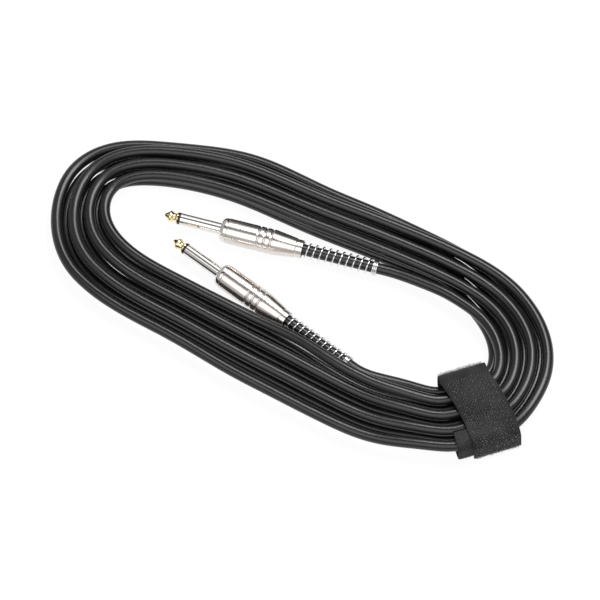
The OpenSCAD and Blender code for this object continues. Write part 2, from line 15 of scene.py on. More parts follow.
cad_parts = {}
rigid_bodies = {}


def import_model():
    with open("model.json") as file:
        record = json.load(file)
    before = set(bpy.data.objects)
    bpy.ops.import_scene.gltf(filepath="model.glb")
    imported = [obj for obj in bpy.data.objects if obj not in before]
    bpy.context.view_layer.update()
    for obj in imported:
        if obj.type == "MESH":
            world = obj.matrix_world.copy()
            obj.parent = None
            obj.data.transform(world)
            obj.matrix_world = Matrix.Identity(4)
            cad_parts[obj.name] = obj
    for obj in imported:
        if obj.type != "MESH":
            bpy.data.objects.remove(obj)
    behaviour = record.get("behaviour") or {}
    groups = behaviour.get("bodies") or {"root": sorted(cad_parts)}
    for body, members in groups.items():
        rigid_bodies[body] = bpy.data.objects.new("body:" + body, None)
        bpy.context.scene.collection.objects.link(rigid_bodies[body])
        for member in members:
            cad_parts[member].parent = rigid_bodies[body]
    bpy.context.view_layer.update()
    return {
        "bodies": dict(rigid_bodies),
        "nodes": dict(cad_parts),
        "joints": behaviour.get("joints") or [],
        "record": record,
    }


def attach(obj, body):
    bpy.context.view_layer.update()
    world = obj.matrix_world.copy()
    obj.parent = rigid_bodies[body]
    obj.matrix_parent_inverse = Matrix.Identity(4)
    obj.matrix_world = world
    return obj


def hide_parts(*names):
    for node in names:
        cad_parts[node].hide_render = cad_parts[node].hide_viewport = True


LOG = logging.getLogger("instrument_cable")
MM = 0.001
# The middle of the part's outline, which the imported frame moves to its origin, in millimetres.
MIDDLE = Vector((-0.92427, -3.73904, 0.0))
WELD_M = 2e-7
SLIVER_M = 1e-8
FILLET_STEPS = 5
TURNED_SIDES = 96
TURNED_SHARP_DEG = 32.0
Point = Sequence[float]
Colour = tuple[float, float, float]
Outline = Sequence[tuple[float, float]]


# ---- Node graphs

class Socket:
    """One output of a shader node. Arithmetic on it adds Math nodes."""

    def __init__(self, graph: "Graph", output: bpy.types.NodeSocket) -> None:
        """Keeps the graph and the output."""
        self.graph = graph
        self.output = output

    def math(self, operation: str, *values: "Value", clamp: bool = False) -> "Socket":
        """Adds a Math node.

        Args:
            operation: Blender's name of the operation.
            values: what goes into the node's inputs, in order.
            clamp: whether the result is kept from 0 to 1.

        Returns:
            The node's result.
        """
        return self.graph.node("ShaderNodeMath", {"operation": operation, "use_clamp": clamp},
                               dict(enumerate(values)))

    def __add__(self, other: "Value") -> "Socket":
        """Sum."""
        return self.math("ADD", self, other)

    def __radd__(self, other: "Value") -> "Socket":
        """Sum, with a number first."""
        return self.math("ADD", other, self)

    def __sub__(self, other: "Value") -> "Socket":
        """Difference."""
        return self.math("SUBTRACT", self, other)

    def __mul__(self, other: "Value") -> "Socket":
        """Product."""
        return self.math("MULTIPLY", self, other)

    def clamped(self) -> "Socket":
        """The value kept from 0 to 1."""
        return self.math("ADD", self, 0.0, clamp=True)

    def sine(self) -> "Socket":
        """Sine of the value, in radians."""
        return self.math("SINE", self)


Value = Union[Socket, float, int, bool, tuple, list, Vector]


class Graph:
    """A node tree of any kind, to which nodes are added by one method."""

    def __init__(self, tree: bpy.types.NodeTree) -> None:
        """Keeps the tree and empties it."""
        self.tree = tree
        tree.nodes.clear()

    def node(self, kind: str, settings: Optional[dict] = None, inputs: Optional[dict] = None,
             out: Union[int, str] = 0) -> Socket:
        """Adds a node.

        Args:
            kind: the node's Blender type.
            settings: its properties, by name.
            inputs: values or sockets for its inputs, by name or by place.
            out: which of its outputs is returned, by name or by place.

        Returns:
            That output, or an input-only node's wrapper with no output.
        """
        made = self.tree.nodes.new(kind)
        for name, value in (settings or {}).items():
            setattr(made, name, value)
        for name, value in (inputs or {}).items():
            target = made.inputs[name]
            if isinstance(value, Socket):
                self.tree.links.new(value.output, target)
            elif isinstance(value, (tuple, list, Vector)) and target.type == "RGBA":
                target.default_value = (*value, 1.0) if len(value) == 3 else value
            else:
                target.default_value = value
        return Socket(self, made.outputs[out]) if len(made.outputs) else Socket(self, None)


class Paint(Graph):
    """The node tree of one material."""

    def __init__(self, name: str) -> None:
        """Makes an empty material of that name."""
        self.material = bpy.data.materials.new(name)
        self.material.use_nodes = True
        super().__init__(self.material.node_tree)

    def place(self, out: str = "Object") -> Socket:
        """The point's own coordinates, in metres on the object, or its UV place."""
        return self.node("ShaderNodeTexCoord", out=out)

    def stretched(self, source: Socket, scale: Point) -> Socket:
        """Coordinates scaled by a factor for each axis."""
        return self.node("ShaderNodeVectorMath", {"operation": "MULTIPLY"}, {0: source, 1: scale})

    def noise(self, source: Socket, scale: float, detail: float = 2.0, rough: float = 0.5) -> Socket:
        """Smooth noise from 0 to 1 at that many cells to the unit."""
        return self.node("ShaderNodeTexNoise", None, {"Vector": source, "Scale": scale,
                         "Detail": detail, "Roughness": rough}, "Fac")

    def cells(self, source: Socket, scale: float, out: str = "Distance") -> Socket:
        """Distance to the nearest of scattered points, or that point's random colour."""
        return self.node("ShaderNodeTexVoronoi", None, {"Vector": source, "Scale": scale}, out)

    def blend(self, share: Value, first: Value, second: Value) -> Socket:
        """Mixes two colours by a share."""
        made = self.node("ShaderNodeMix", {"data_type": "RGBA"}, {0: share}, 2)
        mixer = made.output.node
        for name, value in ((6, first), (7, second)):
            if isinstance(value, Socket):
                self.tree.links.new(value.output, mixer.inputs[name])
            else:
                mixer.inputs[name].default_value = (*value, 1.0)
        return made

    def remap(self, value: Socket, low: float, high: float, to_low: float = 0.0,
              to_high: float = 1.0) -> Socket:
        """Maps a range of the value to another range, smoothly and within its ends."""
        return self.node("ShaderNodeMapRange", {"interpolation_type": "SMOOTHSTEP"},
                         {0: value, 1: low, 2: high, 3: to_low, 4: to_high})

    def bump(self, height: Value, depth_m: float, strength: float = 1.0) -> Socket:
        """A normal bent by a height field whose full height is depth_m."""
        return self.node("ShaderNodeBump", None,
                         {"Height": height, "Distance": depth_m, "Strength": strength}, "Normal")

    def surface(self, **inputs: Value) -> bpy.types.Material:
        """Ends the tree in a Principled surface.

        Args:
            inputs: its sockets by name, with spaces written as underscores.

        Returns:
            The finished material.
        """
        named = {name.replace("_", " "): value for name, value in inputs.items()}
        shader = self.node("ShaderNodeBsdfPrincipled", None, named)
        self.node("ShaderNodeOutputMaterial", None, {"Surface": shader})
        return self.material


# ---- Finishes

@dataclass(frozen=True)
class JacketFinish:
    """Satin black PVC: faint extrusion lines along it, handling marks and a few specks of dust."""

    name: str = "satin_black_pvc"
    colour: Colour = (0.0060, 0.0060, 0.0066)
    worn_colour: Colour = (0.013, 0.013, 0.0138)
    dust_colour: Colour = (0.34, 0.33, 0.32)
    roughness: float = 0.25
    cells_per_m: float = 26.0

    def material(self) -> bpy.types.Material:
        """Builds the material."""
        p = Paint(self.name)
        place, along = p.place(), p.place("UV")
        patches = p.noise(place, 38.0, 3.0)
        streaks = p.noise(p.stretched(along, (24.0, 1900.0, 1.0)), 1.0, 2.0)
        grain = p.noise(place, 2600.0, 2.0, 0.5)
        wear = p.remap(patches * 0.6 + streaks * 0.4, 0.46, 0.72)
        level = p.stretched(along, (1.0, 1.0, 0.0))
        speck = p.cells(level, self.cells_per_m)
        size = p.node("ShaderNodeSeparateColor", None,
                      {0: p.cells(level, self.cells_per_m, "Color")})
        dust = p.remap(speck, 0.0035, 0.0075, 1.0, 0.0) * p.remap(size, 0.35, 0.9)
        lint = p.remap(p.noise(place, 900.0, 4.0, 0.75), 0.70, 0.80) * 0.10
        colour = p.blend(wear, self.colour, self.worn_colour)
        colour = p.blend((dust * 0.75 + lint).clamped(), colour, self.dust_colour)
        rough = self.roughness + wear * 0.09 + (grain - 0.5) * 0.05 + dust * 0.4
        waves = p.noise(p.stretched(along, (55.0, 130.0, 1.0)), 1.0, 1.0)
        height = grain * 0.01 + streaks * 0.02 + waves
        return p.surface(Base_Color=colour, Roughness=rough, Specular_IOR_Level=0.5,
                         Normal=p.bump(height, 0.00025, 0.8))


@dataclass(frozen=True)
class TapeFinish:
    """Black hook-and-loop tape: a woven ground with a painted highlight that greys its high threads
    and its fuzz.
    """

    name: str = "hook_tape"
    colour: Colour = (0.006, 0.006, 0.0064)
    # the colour of the painted highlight on the high threads and fuzz
    highlit_thread_colour: Colour = (0.060, 0.060, 0.062)
    pitch_mm: float = 0.62
    roughness: float = 0.82

    def material(self) -> bpy.types.Material:
        """Builds the material."""
        p = Paint(self.name)
        along, place = p.place("UV"), p.place()
        split = p.node("ShaderNodeSeparateXYZ", None, {0: along})
        across = Socket(p, split.output.node.outputs[1])
        turn = 2 * math.pi / (self.pitch_mm * MM)
        warp = (split * turn).sine() * 0.5 + 0.5
        weft = (across * turn).sine() * 0.5 + 0.5
        checks = ((split * (turn / 2)).sine() * (across * (turn / 2)).sine()) * 0.5 + 0.5
        weave = (warp * 0.3 + weft * 0.3 + checks * 0.4)
        fuzz = p.noise(place, 2600.0, 4.0, 0.7)
        patches = p.noise(place, 90.0, 3.0)
        # painted highlight: high threads and fuzz are coloured lighter, as where light catches them,
        # varied in random patches
        lit = p.remap(weave * 0.55 + fuzz * 0.45, 0.40, 0.70)
        colour = p.blend(lit * p.remap(patches, 0.36, 0.66, 0.2, 1.0), self.colour,
                         self.highlit_thread_colour)
        return p.surface(Base_Color=colour, Roughness=self.roughness + (fuzz - 0.5) * 0.2,
                         Sheen_Weight=0.12, Sheen_Roughness=0.45, Specular_IOR_Level=0.3,
                         Normal=p.bump(weave * 0.6 + fuzz * 0.4, 0.00032, 0.9))


@dataclass(frozen=True)
class FibreFinish:
    """Thin nylon threads of the hooks or of the loop pile."""

    name: str
    colour: Colour
    tip_colour: Colour
    roughness: float = 0.5

    def material(self) -> bpy.types.Material:
        """Builds the material."""
        p = Paint(self.name)
        shade = p.noise(p.place(), 700.0, 2.0)
        return p.surface(Base_Color=p.blend(p.remap(shade, 0.3, 0.7), self.colour,
                                            self.tip_colour),
                         Roughness=self.roughness + (shade - 0.5) * 0.2)


@dataclass(frozen=True)
class MetalFinish:
    """A plated or drawn metal with the fine turning marks and handling smears of a made part."""

    name: str
    colour: Colour
    dull_colour: Colour
    roughness: float
    marks_per_m: float = 4200.0
    mark_depth_m: float = 0.000002
    smear: float = 0.07
    turned: bool = True

    def material(self) -> bpy.types.Material:
        """Builds the material."""
        p = Paint(self.name)
        place = p.place()
        source = p.stretched(p.place("UV"), (1.0, 0.02, 1.0)) if self.turned else place
        marks = p.noise(source, self.marks_per_m, 3.0, 0.7)
        smears = p.remap(p.noise(place, 210.0, 4.0, 0.6), 0.42, 0.75)
        spots = p.remap(p.noise(place, 1500.0, 2.0), 0.70, 0.80)
        colour = p.blend((smears * 0.4 + spots * 0.35).clamped(), self.colour, self.dull_colour)
        rough = self.roughness + smears * self.smear + (marks - 0.5) * 0.04 + spots * 0.08
        return p.surface(Base_Color=colour, Metallic=1.0, Roughness=rough,
                         Normal=p.bump(marks, self.mark_depth_m, 0.6))


@dataclass(frozen=True)
class PlasticFinish:
    """A moulded, drawn or pressed insulator."""

    name: str
    colour: Colour
    pale_colour: Colour
    roughness: float = 0.45
    grain_per_m: float = 1800.0

    def material(self) -> bpy.types.Material:
        """Builds the material."""
        p = Paint(self.name)
        place = p.place()
        grain = p.noise(place, self.grain_per_m, 3.0, 0.65)
        patches = p.noise(place, 300.0, 2.0)
        return p.surface(Base_Color=p.blend(p.remap(grain * 0.5 + patches * 0.5, 0.35, 0.7),
                                            self.colour, self.pale_colour),
                         Roughness=self.roughness + (grain - 0.5) * 0.16,
                         Normal=p.bump(grain, 0.00002, 0.6))


@dataclass(frozen=True)
class BraidFinish:
    """Bare copper strands that lie side by side along the cable, with painted shade in the gaps
    between them.
    """

    name: str = "copper_strands"
    colour: Colour = (0.72, 0.40, 0.22)
    # the colour of the painted shade in the gaps between strands
    gap_shade_colour: Colour = (0.22, 0.10, 0.05)

    def material(self) -> bpy.types.Material:
        """Builds the material."""
        p = Paint(self.name)
        place = p.place()
        strands = p.noise(p.stretched(place, (900.0, 5200.0, 5200.0)), 1.0, 2.0, 0.6)
        # painted shade: the gaps between strands are coloured darker, as where shade falls
        lit = p.remap(strands, 0.38, 0.60)
        return p.surface(Base_Color=p.blend(lit, self.gap_shade_colour, self.colour), Metallic=1.0,
                         Roughness=0.34 + (strands - 0.5) * 0.3,
                         Normal=p.bump(strands, 0.00012, 0.9))


class Finish(Enum):
    """The finishes of the object, each named for what it covers."""

    JACKET = JacketFinish()
    TAPE = TapeFinish()
    HOOK = FibreFinish("nylon_hooks", (0.040, 0.040, 0.042), (0.19, 0.19, 0.195), 0.4)
    PILE = FibreFinish("loop_pile", (0.20, 0.20, 0.20), (0.60, 0.60, 0.60), 0.75)
    PIN = MetalFinish("polished_nickel", (0.80, 0.775, 0.75), (0.72, 0.69, 0.66), 0.06)
    BARREL = MetalFinish("satin_nickel", (0.75, 0.70, 0.665), (0.66, 0.61, 0.575), 0.20,
                         3000.0, 0.000003)
    GOLD = MetalFinish("gold_plate", (0.93, 0.80, 0.50), (0.80, 0.63, 0.33), 0.10)
    SPRING = MetalFinish("bright_spring_steel", (0.80, 0.79, 0.78), (0.62, 0.61, 0.60), 0.13,
                         5200.0, 0.000003, turned=False)
    RING = PlasticFinish("black_insulator", (0.008, 0.008, 0.008), (0.016, 0.016, 0.016), 0.3)
    NATURAL = PlasticFinish("natural_nylon", (0.68, 0.66, 0.59), (0.78, 0.76, 0.70), 0.42)
    FIBRE = PlasticFinish("pressed_fibre", (0.30, 0.17, 0.09), (0.44, 0.28, 0.16), 0.7, 2600.0)
    CORE = PlasticFinish("white_polyethylene", (0.78, 0.78, 0.74), (0.86, 0.86, 0.83), 0.38)
    ROD = MetalFinish("drawn_brass", (0.76, 0.60, 0.32), (0.60, 0.44, 0.22), 0.22, turned=False)
    LUG_TIN = MetalFinish("tinned_sheet", (0.70, 0.69, 0.66), (0.55, 0.54, 0.51), 0.30,
                          2400.0, 0.00001, turned=False)
    LUG_BRASS = MetalFinish("brass_sheet", (0.76, 0.62, 0.34), (0.58, 0.45, 0.23), 0.28,
                            2400.0, 0.00001, turned=False)
    SOLDER = MetalFinish("solder", (0.72, 0.72, 0.73), (0.50, 0.50, 0.51), 0.24, 900.0, 0.00006,
                         0.2, turned=False)
    COPPER = BraidFinish()


class Palette:
    """Builds each finish once, when it is first asked for."""

    def __init__(self) -> None:
        """Starts with nothing built."""
        self.built: dict[Finish, bpy.types.Material] = {}

    def __getitem__(self, finish: Finish) -> bpy.types.Material:
        """The material of that finish."""
        if finish not in self.built:
            self.built[finish] = finish.value.material()
        return self.built[finish]


# ---- Meshes

class MeshDraft:
    """Points and faces of one piece, in millimetres, before they become an object in metres."""

    def __init__(self) -> None:
        """Starts empty."""
        self.points: list[Vector] = []
        self.faces: list[tuple[int, ...]] = []
        self.places: list[list[tuple[float, float]]] = []

    def skin(self, rows: Sequence[Sequence[Vector]], us: Sequence[float],
             vs: Sequence[float]) -> None:
        """Joins rows of points to a skin whose last column joins the first.

        Args:
            rows: rows of as many points each.
            us: the UV place of each row, in metres.
            vs: the UV place of each column, and of the first column's return.
        """
        base, width = len(self.points), len(rows[0])
        for row in rows:
            self.points += list(row)
        for i in range(len(rows) - 1):
            for k in range(width):
                a, b = base + i * width + k, base + i * width + (k + 1) % width
                self.faces.append((a, a + width, b + width, b))
                self.places.append([(us[i], vs[k]), (us[i + 1], vs[k]),
                                    (us[i + 1], vs[k + 1]), (us[i], vs[k + 1])])

    def tube(self, rows: Sequence[Sequence[Vector]], us: Sequence[float],
             vs: Sequence[float]) -> None:
        """Joins rows of points to a skin, and closes both its ends."""
        self.skin(rows, us, vs)
        self.cap(rows[0])
        self.cap(rows[-1])

    def cap(self, row: Sequence[Vector]) -> None:
        """Closes an end with a fan round the row's middle point."""
        base = len(self.points)
        self.points += list(row) + [sum(row, Vector()) / len(row)]
        for k in range(len(row)):
            self.faces.append((base + k, base + (k + 1) % len(row), base + len(row)))
            self.places.append([(0.0, 0.0), (0.001, 0.0), (0.0005, 0.001)])

    def piece(self, name: str, materials: Sequence[bpy.types.Material],
              sharp_deg: float) -> bpy.types.Object:
        """Makes the object.

        Args:
            name: the piece's name.
            materials: its materials.
            sharp_deg: edges that bend more than this stay sharp.

        Returns:
            The object, at the origin, with its place in its mesh.
        """
        mesh = bpy.data.meshes.new(name)
        mesh.from_pydata([p * MM for p in self.points], [], self.faces)
        uv = mesh.uv_layers.new(name="UVMap")
        flat = [c for place in self.places for pair in place for c in pair]
        uv.data.foreach_set("uv", flat)
        work = bmesh.new()
        work.from_mesh(mesh)
        bmesh.ops.remove_doubles(work, verts=work.verts, dist=WELD_M)
        bmesh.ops.dissolve_degenerate(work, edges=work.edges, dist=SLIVER_M)
        bmesh.ops.recalc_face_normals(work, faces=work.faces)
        work.to_mesh(mesh)
        work.free()
        return shown(mesh, name, materials, sharp_deg)


def linked(name: str, data: bpy.types.ID) -> bpy.types.Object:
    """A new object in the scene that shows that data."""
    made = bpy.data.objects.new(name, data)
    bpy.context.scene.collection.objects.link(made)
    return made


def shown(mesh: bpy.types.Mesh, name: str, materials: Sequence[bpy.types.Material],
          sharp_deg: float) -> bpy.types.Object:
    """Links a mesh as a smooth-shaded object.

    Args:
        mesh: the mesh, with its place in its vertices.
        name: the object's name.
        materials: its materials; a mesh that brings its own keeps them.
        sharp_deg: edges that bend more than this stay sharp.

    Returns:
        The object.
    """
    mesh.name = name
    if not mesh.materials:
        for material in materials:
            mesh.materials.append(material)
    mesh.polygons.foreach_set("use_smooth", [True] * len(mesh.polygons))
    mesh.set_sharp_from_angle(angle=math.radians(sharp_deg))
    return linked(name, mesh)


def runs_of(line: Sequence[Point]) -> list[float]:
    """How far along a line each of its points lies."""
    runs = [0.0]
    for a, b in zip(line, line[1:]):
        runs.append(runs[-1] + ((b - a).length if isinstance(a, Vector) else math.dist(a, b)))
    return runs


def headings(line: Sequence[Vector]) -> list[Vector]:
    """The direction of a line at each of its points."""
    last = len(line) - 1
    return [(line[min(i + 1, last)] - line[max(i - 1, 0)]).normalized() for i in range(last + 1)]


def rounded(corners: Sequence[tuple[float, float, float]]) -> list[tuple[float, float]]:
    """Rounds the corners of an open outline.

    Args:
        corners: (radius, place, fillet) of each corner; a fillet of 0 keeps it sharp.

    Returns:
        The outline's points.
    """
    made: list[tuple[float, float]] = []
    for i, (r, x, fillet) in enumerate(corners):
        if fillet <= 0 or i in (0, len(corners) - 1):
            made.append((r, x))
            continue
        here = Vector((r, x))
        before = Vector(corners[i - 1][:2]) - here
        after = Vector(corners[i + 1][:2]) - here
        reach = min(fillet, before.length * 0.48, after.length * 0.48)
        a, b = here + before.normalized() * reach, here + after.normalized() * reach
        for k in range(FILLET_STEPS + 1):
            t = k / FILLET_STEPS
            p = a * (1 - t) ** 2 + here * 2 * t * (1 - t) + b * t * t
            made.append((p.x, p.y))
    return made


@dataclass(frozen=True)
class PlugSpot:
    """Where a plug lies: the apex of its tip, its heading and the height of its axis."""

    x: float
    y: float
    yaw_deg: float
    z: float = 6.8

    def point(self, along: float, side: float = 0.0, up: float = 0.0) -> Vector:
        """A point of the plug's own frame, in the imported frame, in millimetres."""
        a = math.radians(self.yaw_deg)
        return Vector((self.x + along * math.cos(a) - side * math.sin(a),
                       self.y + along * math.sin(a) + side * math.cos(a), self.z + up)) - MIDDLE

    def matrix(self) -> Matrix:
        """The same as a matrix in metres."""
        turn = Matrix.Rotation(math.radians(self.yaw_deg), 4, "Z")
        return Matrix.Translation(self.point(0) * MM) @ turn


def turned(spot: PlugSpot, name: str, outline: Outline, material: bpy.types.Material,
           closed: bool = False,
           radius_at: Optional[Callable[[float, float, float], float]] = None) -> bpy.types.Object:
    """Turns an outline about a plug's axis.

    Args:
        spot: where the plug lies.
        name: the piece's name.
        outline: (radius, place along the axis) of each point.
        material: the piece's material.
        closed: whether the last point joins the first.
        radius_at: changes a radius by place and angle, as for a thread.

    Returns:
        The piece.
    """
    points = list(outline) + ([outline[0]] if closed else [])
    draft, rows = MeshDraft(), []
    for r, x in points:
        row = []
        for k in range(TURNED_SIDES):
            a = 2 * math.pi * k / TURNED_SIDES
            here = radius_at(r, x, a) if radius_at else r
            row.append(spot.point(x, here * math.cos(a), here * math.sin(a)))
        rows.append(row)
    round_m = 2 * math.pi * max(r for r, _ in points) * MM
    draft.skin(rows, [run * MM for run in runs_of(points)],
               [round_m * k / TURNED_SIDES for k in range(TURNED_SIDES + 1)])
    return draft.piece(name, [material], TURNED_SHARP_DEG)


class Recipe(Graph):
    """A Geometry Nodes tree with named inputs, applied once to a carrier object."""

    def __init__(self, name: str, sizes: dict[str, float]) -> None:
        """Makes the tree and its inputs.

        Args:
            name: the tree's name.
            sizes: the named inputs and their values, in metres, radians or counts.
        """
        tree = bpy.data.node_groups.new(name, "GeometryNodeTree")
        super().__init__(tree)
        self.values = dict(sizes)
        tree.interface.new_socket("Geometry", in_out="INPUT", socket_type="NodeSocketGeometry")
        for size, value in sizes.items():
            kind = "NodeSocketInt" if isinstance(value, int) else "NodeSocketFloat"
            tree.interface.new_socket(size, in_out="INPUT", socket_type=kind)
        tree.interface.new_socket("Geometry", in_out="OUTPUT", socket_type="NodeSocketGeometry")
        self.entry = tree.nodes.new("NodeGroupInput")

    def size(self, name: str) -> Socket:
        """One of the named inputs, or the carrier's geometry."""
        return Socket(self, self.entry.outputs[name])

    def combined(self, x: Value, y: Value, z: Value) -> Socket:
        """A vector of three values."""
        return self.node("ShaderNodeCombineXYZ", None, {0: x, 1: y, 2: z})

    def finish(self, geometry: Socket, material: bpy.types.Material) -> None:
        """Ends the tree: realizes the instances and gives them their material."""
        real = self.node("GeometryNodeRealizeInstances", None, {0: geometry})
        dressed = self.node("GeometryNodeSetMaterial", None, {0: real, "Material": material})
        self.node("NodeGroupOutput", None, {0: dressed})

    def applied(self, name: str, carrier: bpy.types.Mesh, place: Optional[Matrix] = None,
                sharp_deg: float = 60.0) -> bpy.types.Object:
        """Runs the tree on a carrier mesh.

        Args:
            name: the new piece's name.
            carrier: the mesh that the tree starts from.
            place: a matrix for the result.
            sharp_deg: edges that bend more than this stay sharp.

        Returns:
            The result as a plain object.
        """
        holder = linked(name + "_carrier", carrier)
        modifier = holder.modifiers.new("recipe", "NODES")
        modifier.node_group = self.tree
        for item in self.tree.interface.items_tree:
            if item.in_out == "INPUT" and item.name in self.values:
                modifier[item.identifier] = self.values[item.name]
        graph = bpy.context.evaluated_depsgraph_get()
        mesh = bpy.data.meshes.new_from_object(holder.evaluated_get(graph))
        holder.modifiers.remove(modifier)
        bpy.data.objects.remove(holder)
        if place is not None:
            mesh.transform(place)
        return shown(mesh, name, [], sharp_deg)


# ---- The cable

def smooth_step(share: float) -> float:
    """0 below 0, 1 above 1, and smooth between them."""
    k = max(0.0, min(1.0, share))
    return k * k * (3 - 2 * k)


def swell(value: float, flat: float, edge: float) -> float:
    """1 within flat of nothing, 0 beyond edge, and smooth between them."""
    return smooth_step((edge - abs(value)) / (edge - flat))


def around(sizes: Sequence[float], angle: float) -> float:
    """A size that differs round the coil, eased between the values of even angles."""
    u = angle * len(sizes) / 360
    i = math.floor(u)
    a, b = sizes[i % len(sizes)], sizes[(i + 1) % len(sizes)]
    return a + (b - a) * smooth_step(u - i)


@dataclass(frozen=True)
class Zone:
    """A stretch round the coil: its middle, and half its full and its whole reach, in degrees."""

    middle: float
    flat: float
    edge: float

    def at(self, angle: float) -> float:
        """1 where the stretch is in full, 0 outside it, and smooth between them."""
        return swell((angle - self.middle + 180) % 360 - 180, self.flat, self.edge)


@dataclass
class CableRun:
    """The whole cable: from one plug round its coil to the other, on one line."""

    diameter: float = 6.0
    coil_turns: float = 7.5
    lead_angle: float = 30.0
    oval_a: float = 111.0
    oval_b: float = 27.5
    fullness: float = 0.52
    egg: float = 0.2
    oval_tilt: float = 1.5
    front_push: float = 1.5
    turn_pitches: tuple[float, ...] = (8.8, 8, 7.7, 7.5, 8, 7, 7.4, 9.6, 9.8, 10.8, 10.4, 9.3)
    turn_bulges: tuple[float, ...] = (0.4, -0.5, -0.5, 0, 1.6, 1, 1.5, 0.7, 0, 0, 1.6, 0.8)
    lower_shifts: tuple[float, ...] = (-4.5, -1, 1.5, 2.5, 2.5, -1, 3, 2.5, 0, -2, -1.5, -3.5)
    layer_gap: float = 0.5
    floor_share: float = 0.4
    drop_turns: float = 0.5
    end_tuck: float = 0.8
    tuck_turns: float = 0.2
    ride_height: float = 6.0
    ride_zone: Zone = Zone(-66, 0, 34)
    ride_until: float = 0.8
    strap_angle: float = -21.0
    strap_lift: float = 2.2
    lift_flat: float = 32.0
    lift_edge: float = 60.0
    straight_half: float = 14.0
    straight_fade: float = 25.0
    straight_reach: float = 25.0
    bend_r: float = 26.0
    ring_crowding: float = 0.28
    lead_ease: float = 0.12
    lower_lay: tuple[float, ...] = (-1, -3, 0.5, 0, 0.5, 3, 1, -1, -1, -0.5, -2, -0.5)
    plug_zone: Zone = Zone(296, 10, 24)
    far_squeeze: float = 0.7
    far_zone: Zone = Zone(152, 10, 45)
    right_squeeze: float = 1.2
    right_zone: Zone = Zone(50, 5, 40)
    right_depth: float = 1.8
    back_pull: float = 1.0
    back_zone: Zone = Zone(118, 5, 35)
    left_reach: float = 1.0
    left_zone: Zone = Zone(210, 5, 30)
    barrel_room: float = 0.3
    barrel_zone: Zone = Zone(270, 5, 30)
    near_push: float = 3.5
    near_zone: Zone = Zone(298, 4, 26)
    near_depth: float = 0.55
    near_fade: float = 4.0
    held_x: tuple[float, ...] = (76.0, 92.0, 108.0)
    straight_x: float = 125.6
    rings_per_turn: int = 96
    step: float = 3.0
    ease_rounds: int = 4
    sides: int = 22

    def __post_init__(self) -> None:
        """Works out the frame of the strap's crossing."""
        self.spiral_turns = self.coil_turns - 2 * self.lead_angle / 360
        self.foot = self.oval(self.strap_angle)
        self.out = self.oval_out(self.strap_angle)
        self.along = Vector((-self.out.y, self.out.x))

    def oval(self, t: float) -> Vector:
        """A point of the innermost turn, at an angle in degrees."""
        c, s = math.cos(math.radians(t)), math.sin(math.radians(t))
        y = self.oval_b * (1 + self.egg * c) * s * (1 + self.fullness * c * c)
        return Vector((self.oval_a * c, y + self.oval_tilt * c + self.front_push * max(0.0, -s) ** 6))

    def oval_out(self, t: float) -> Vector:
        """The direction out of the oval at an angle."""
        d = (self.oval(t + 0.01) - self.oval(t - 0.01)).normalized()
        return Vector((d.y, -d.x))

    def drawn_straight(self, along: float, out: float) -> float:
        """How far the strap holds a turn out where it would bend away from the strap's side."""
        if out < -self.straight_reach:
            return 0.0
        sag = min(abs(along), self.straight_half) ** 2 / (2 * (self.bend_r + max(out, 0.0)))
        return sag * swell(along, self.straight_half, self.straight_half + self.straight_fade)

    def laid(self, t: float, depth: float, down: float) -> float:
        """How far a turn lies off its even place, as hand-laid turns do.

        Args:
            t: the angle round the coil, in degrees.
            depth: how many turns lie between it and the coil's inner edge.
            down: 0 in the upper layer, 1 in the lower.

        Returns:
            The shift outwards, in millimetres.
        """
        free = 1 - self.plug_zone.at(t) * (1 - smooth_step(depth - 1))
        squeeze = self.far_squeeze * self.far_zone.at(t) * depth \
            + self.right_squeeze * self.right_zone.at(t) * (depth - self.right_depth)
        reach = self.left_reach * self.left_zone.at(t) - self.back_pull * self.back_zone.at(t) \
            + self.barrel_room * self.barrel_zone.at(t)
        inner = 1 - smooth_step((depth - self.near_depth) * self.near_fade)
        return reach + down * free * (around(self.lower_lay, t) - squeeze) \
            + (1 - down) * self.near_push * self.near_zone.at(t) * inner

    def coil_point(self, turn: float) -> Vector:
        """The cable's centre after a number of turns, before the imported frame's shift."""
        u = 90 - self.lead_angle - 360 * turn
        t = u - self.ring_crowding * math.degrees(math.sin(math.radians(2 * u)))
        middle = self.spiral_turns / 2
        depth = middle - abs(turn - middle)
        down = smooth_step((turn - middle) / self.drop_turns + 0.5)
        tuck = swell(turn, 0, self.tuck_turns) + swell(self.spiral_turns - turn, 0, self.tuck_turns)
        out = depth * around(self.turn_pitches, t) + around(self.turn_bulges, t) \
            + down * around(self.lower_shifts, t) - self.end_tuck * tuck + self.laid(t, depth, down)
        free = self.oval(t) + out * self.oval_out(t)
        from_foot = free - self.foot
        p = free + self.out * self.drawn_straight(from_foot.dot(self.along),
                                                  from_foot.dot(self.out))
        across = Vector(((p - self.foot).dot(self.along), min(0.0, (p - self.foot).dot(self.out))))
        over_strap = self.strap_lift * swell(across.length, self.lift_flat, self.lift_edge)
        over_spring = self.ride_height * self.ride_zone.at(t) if turn < self.ride_until else 0.0
        z = self.floor_share * self.diameter + (1 - down) * (self.diameter + self.layer_gap)
        return Vector((p.x, p.y, z + over_strap + over_spring))

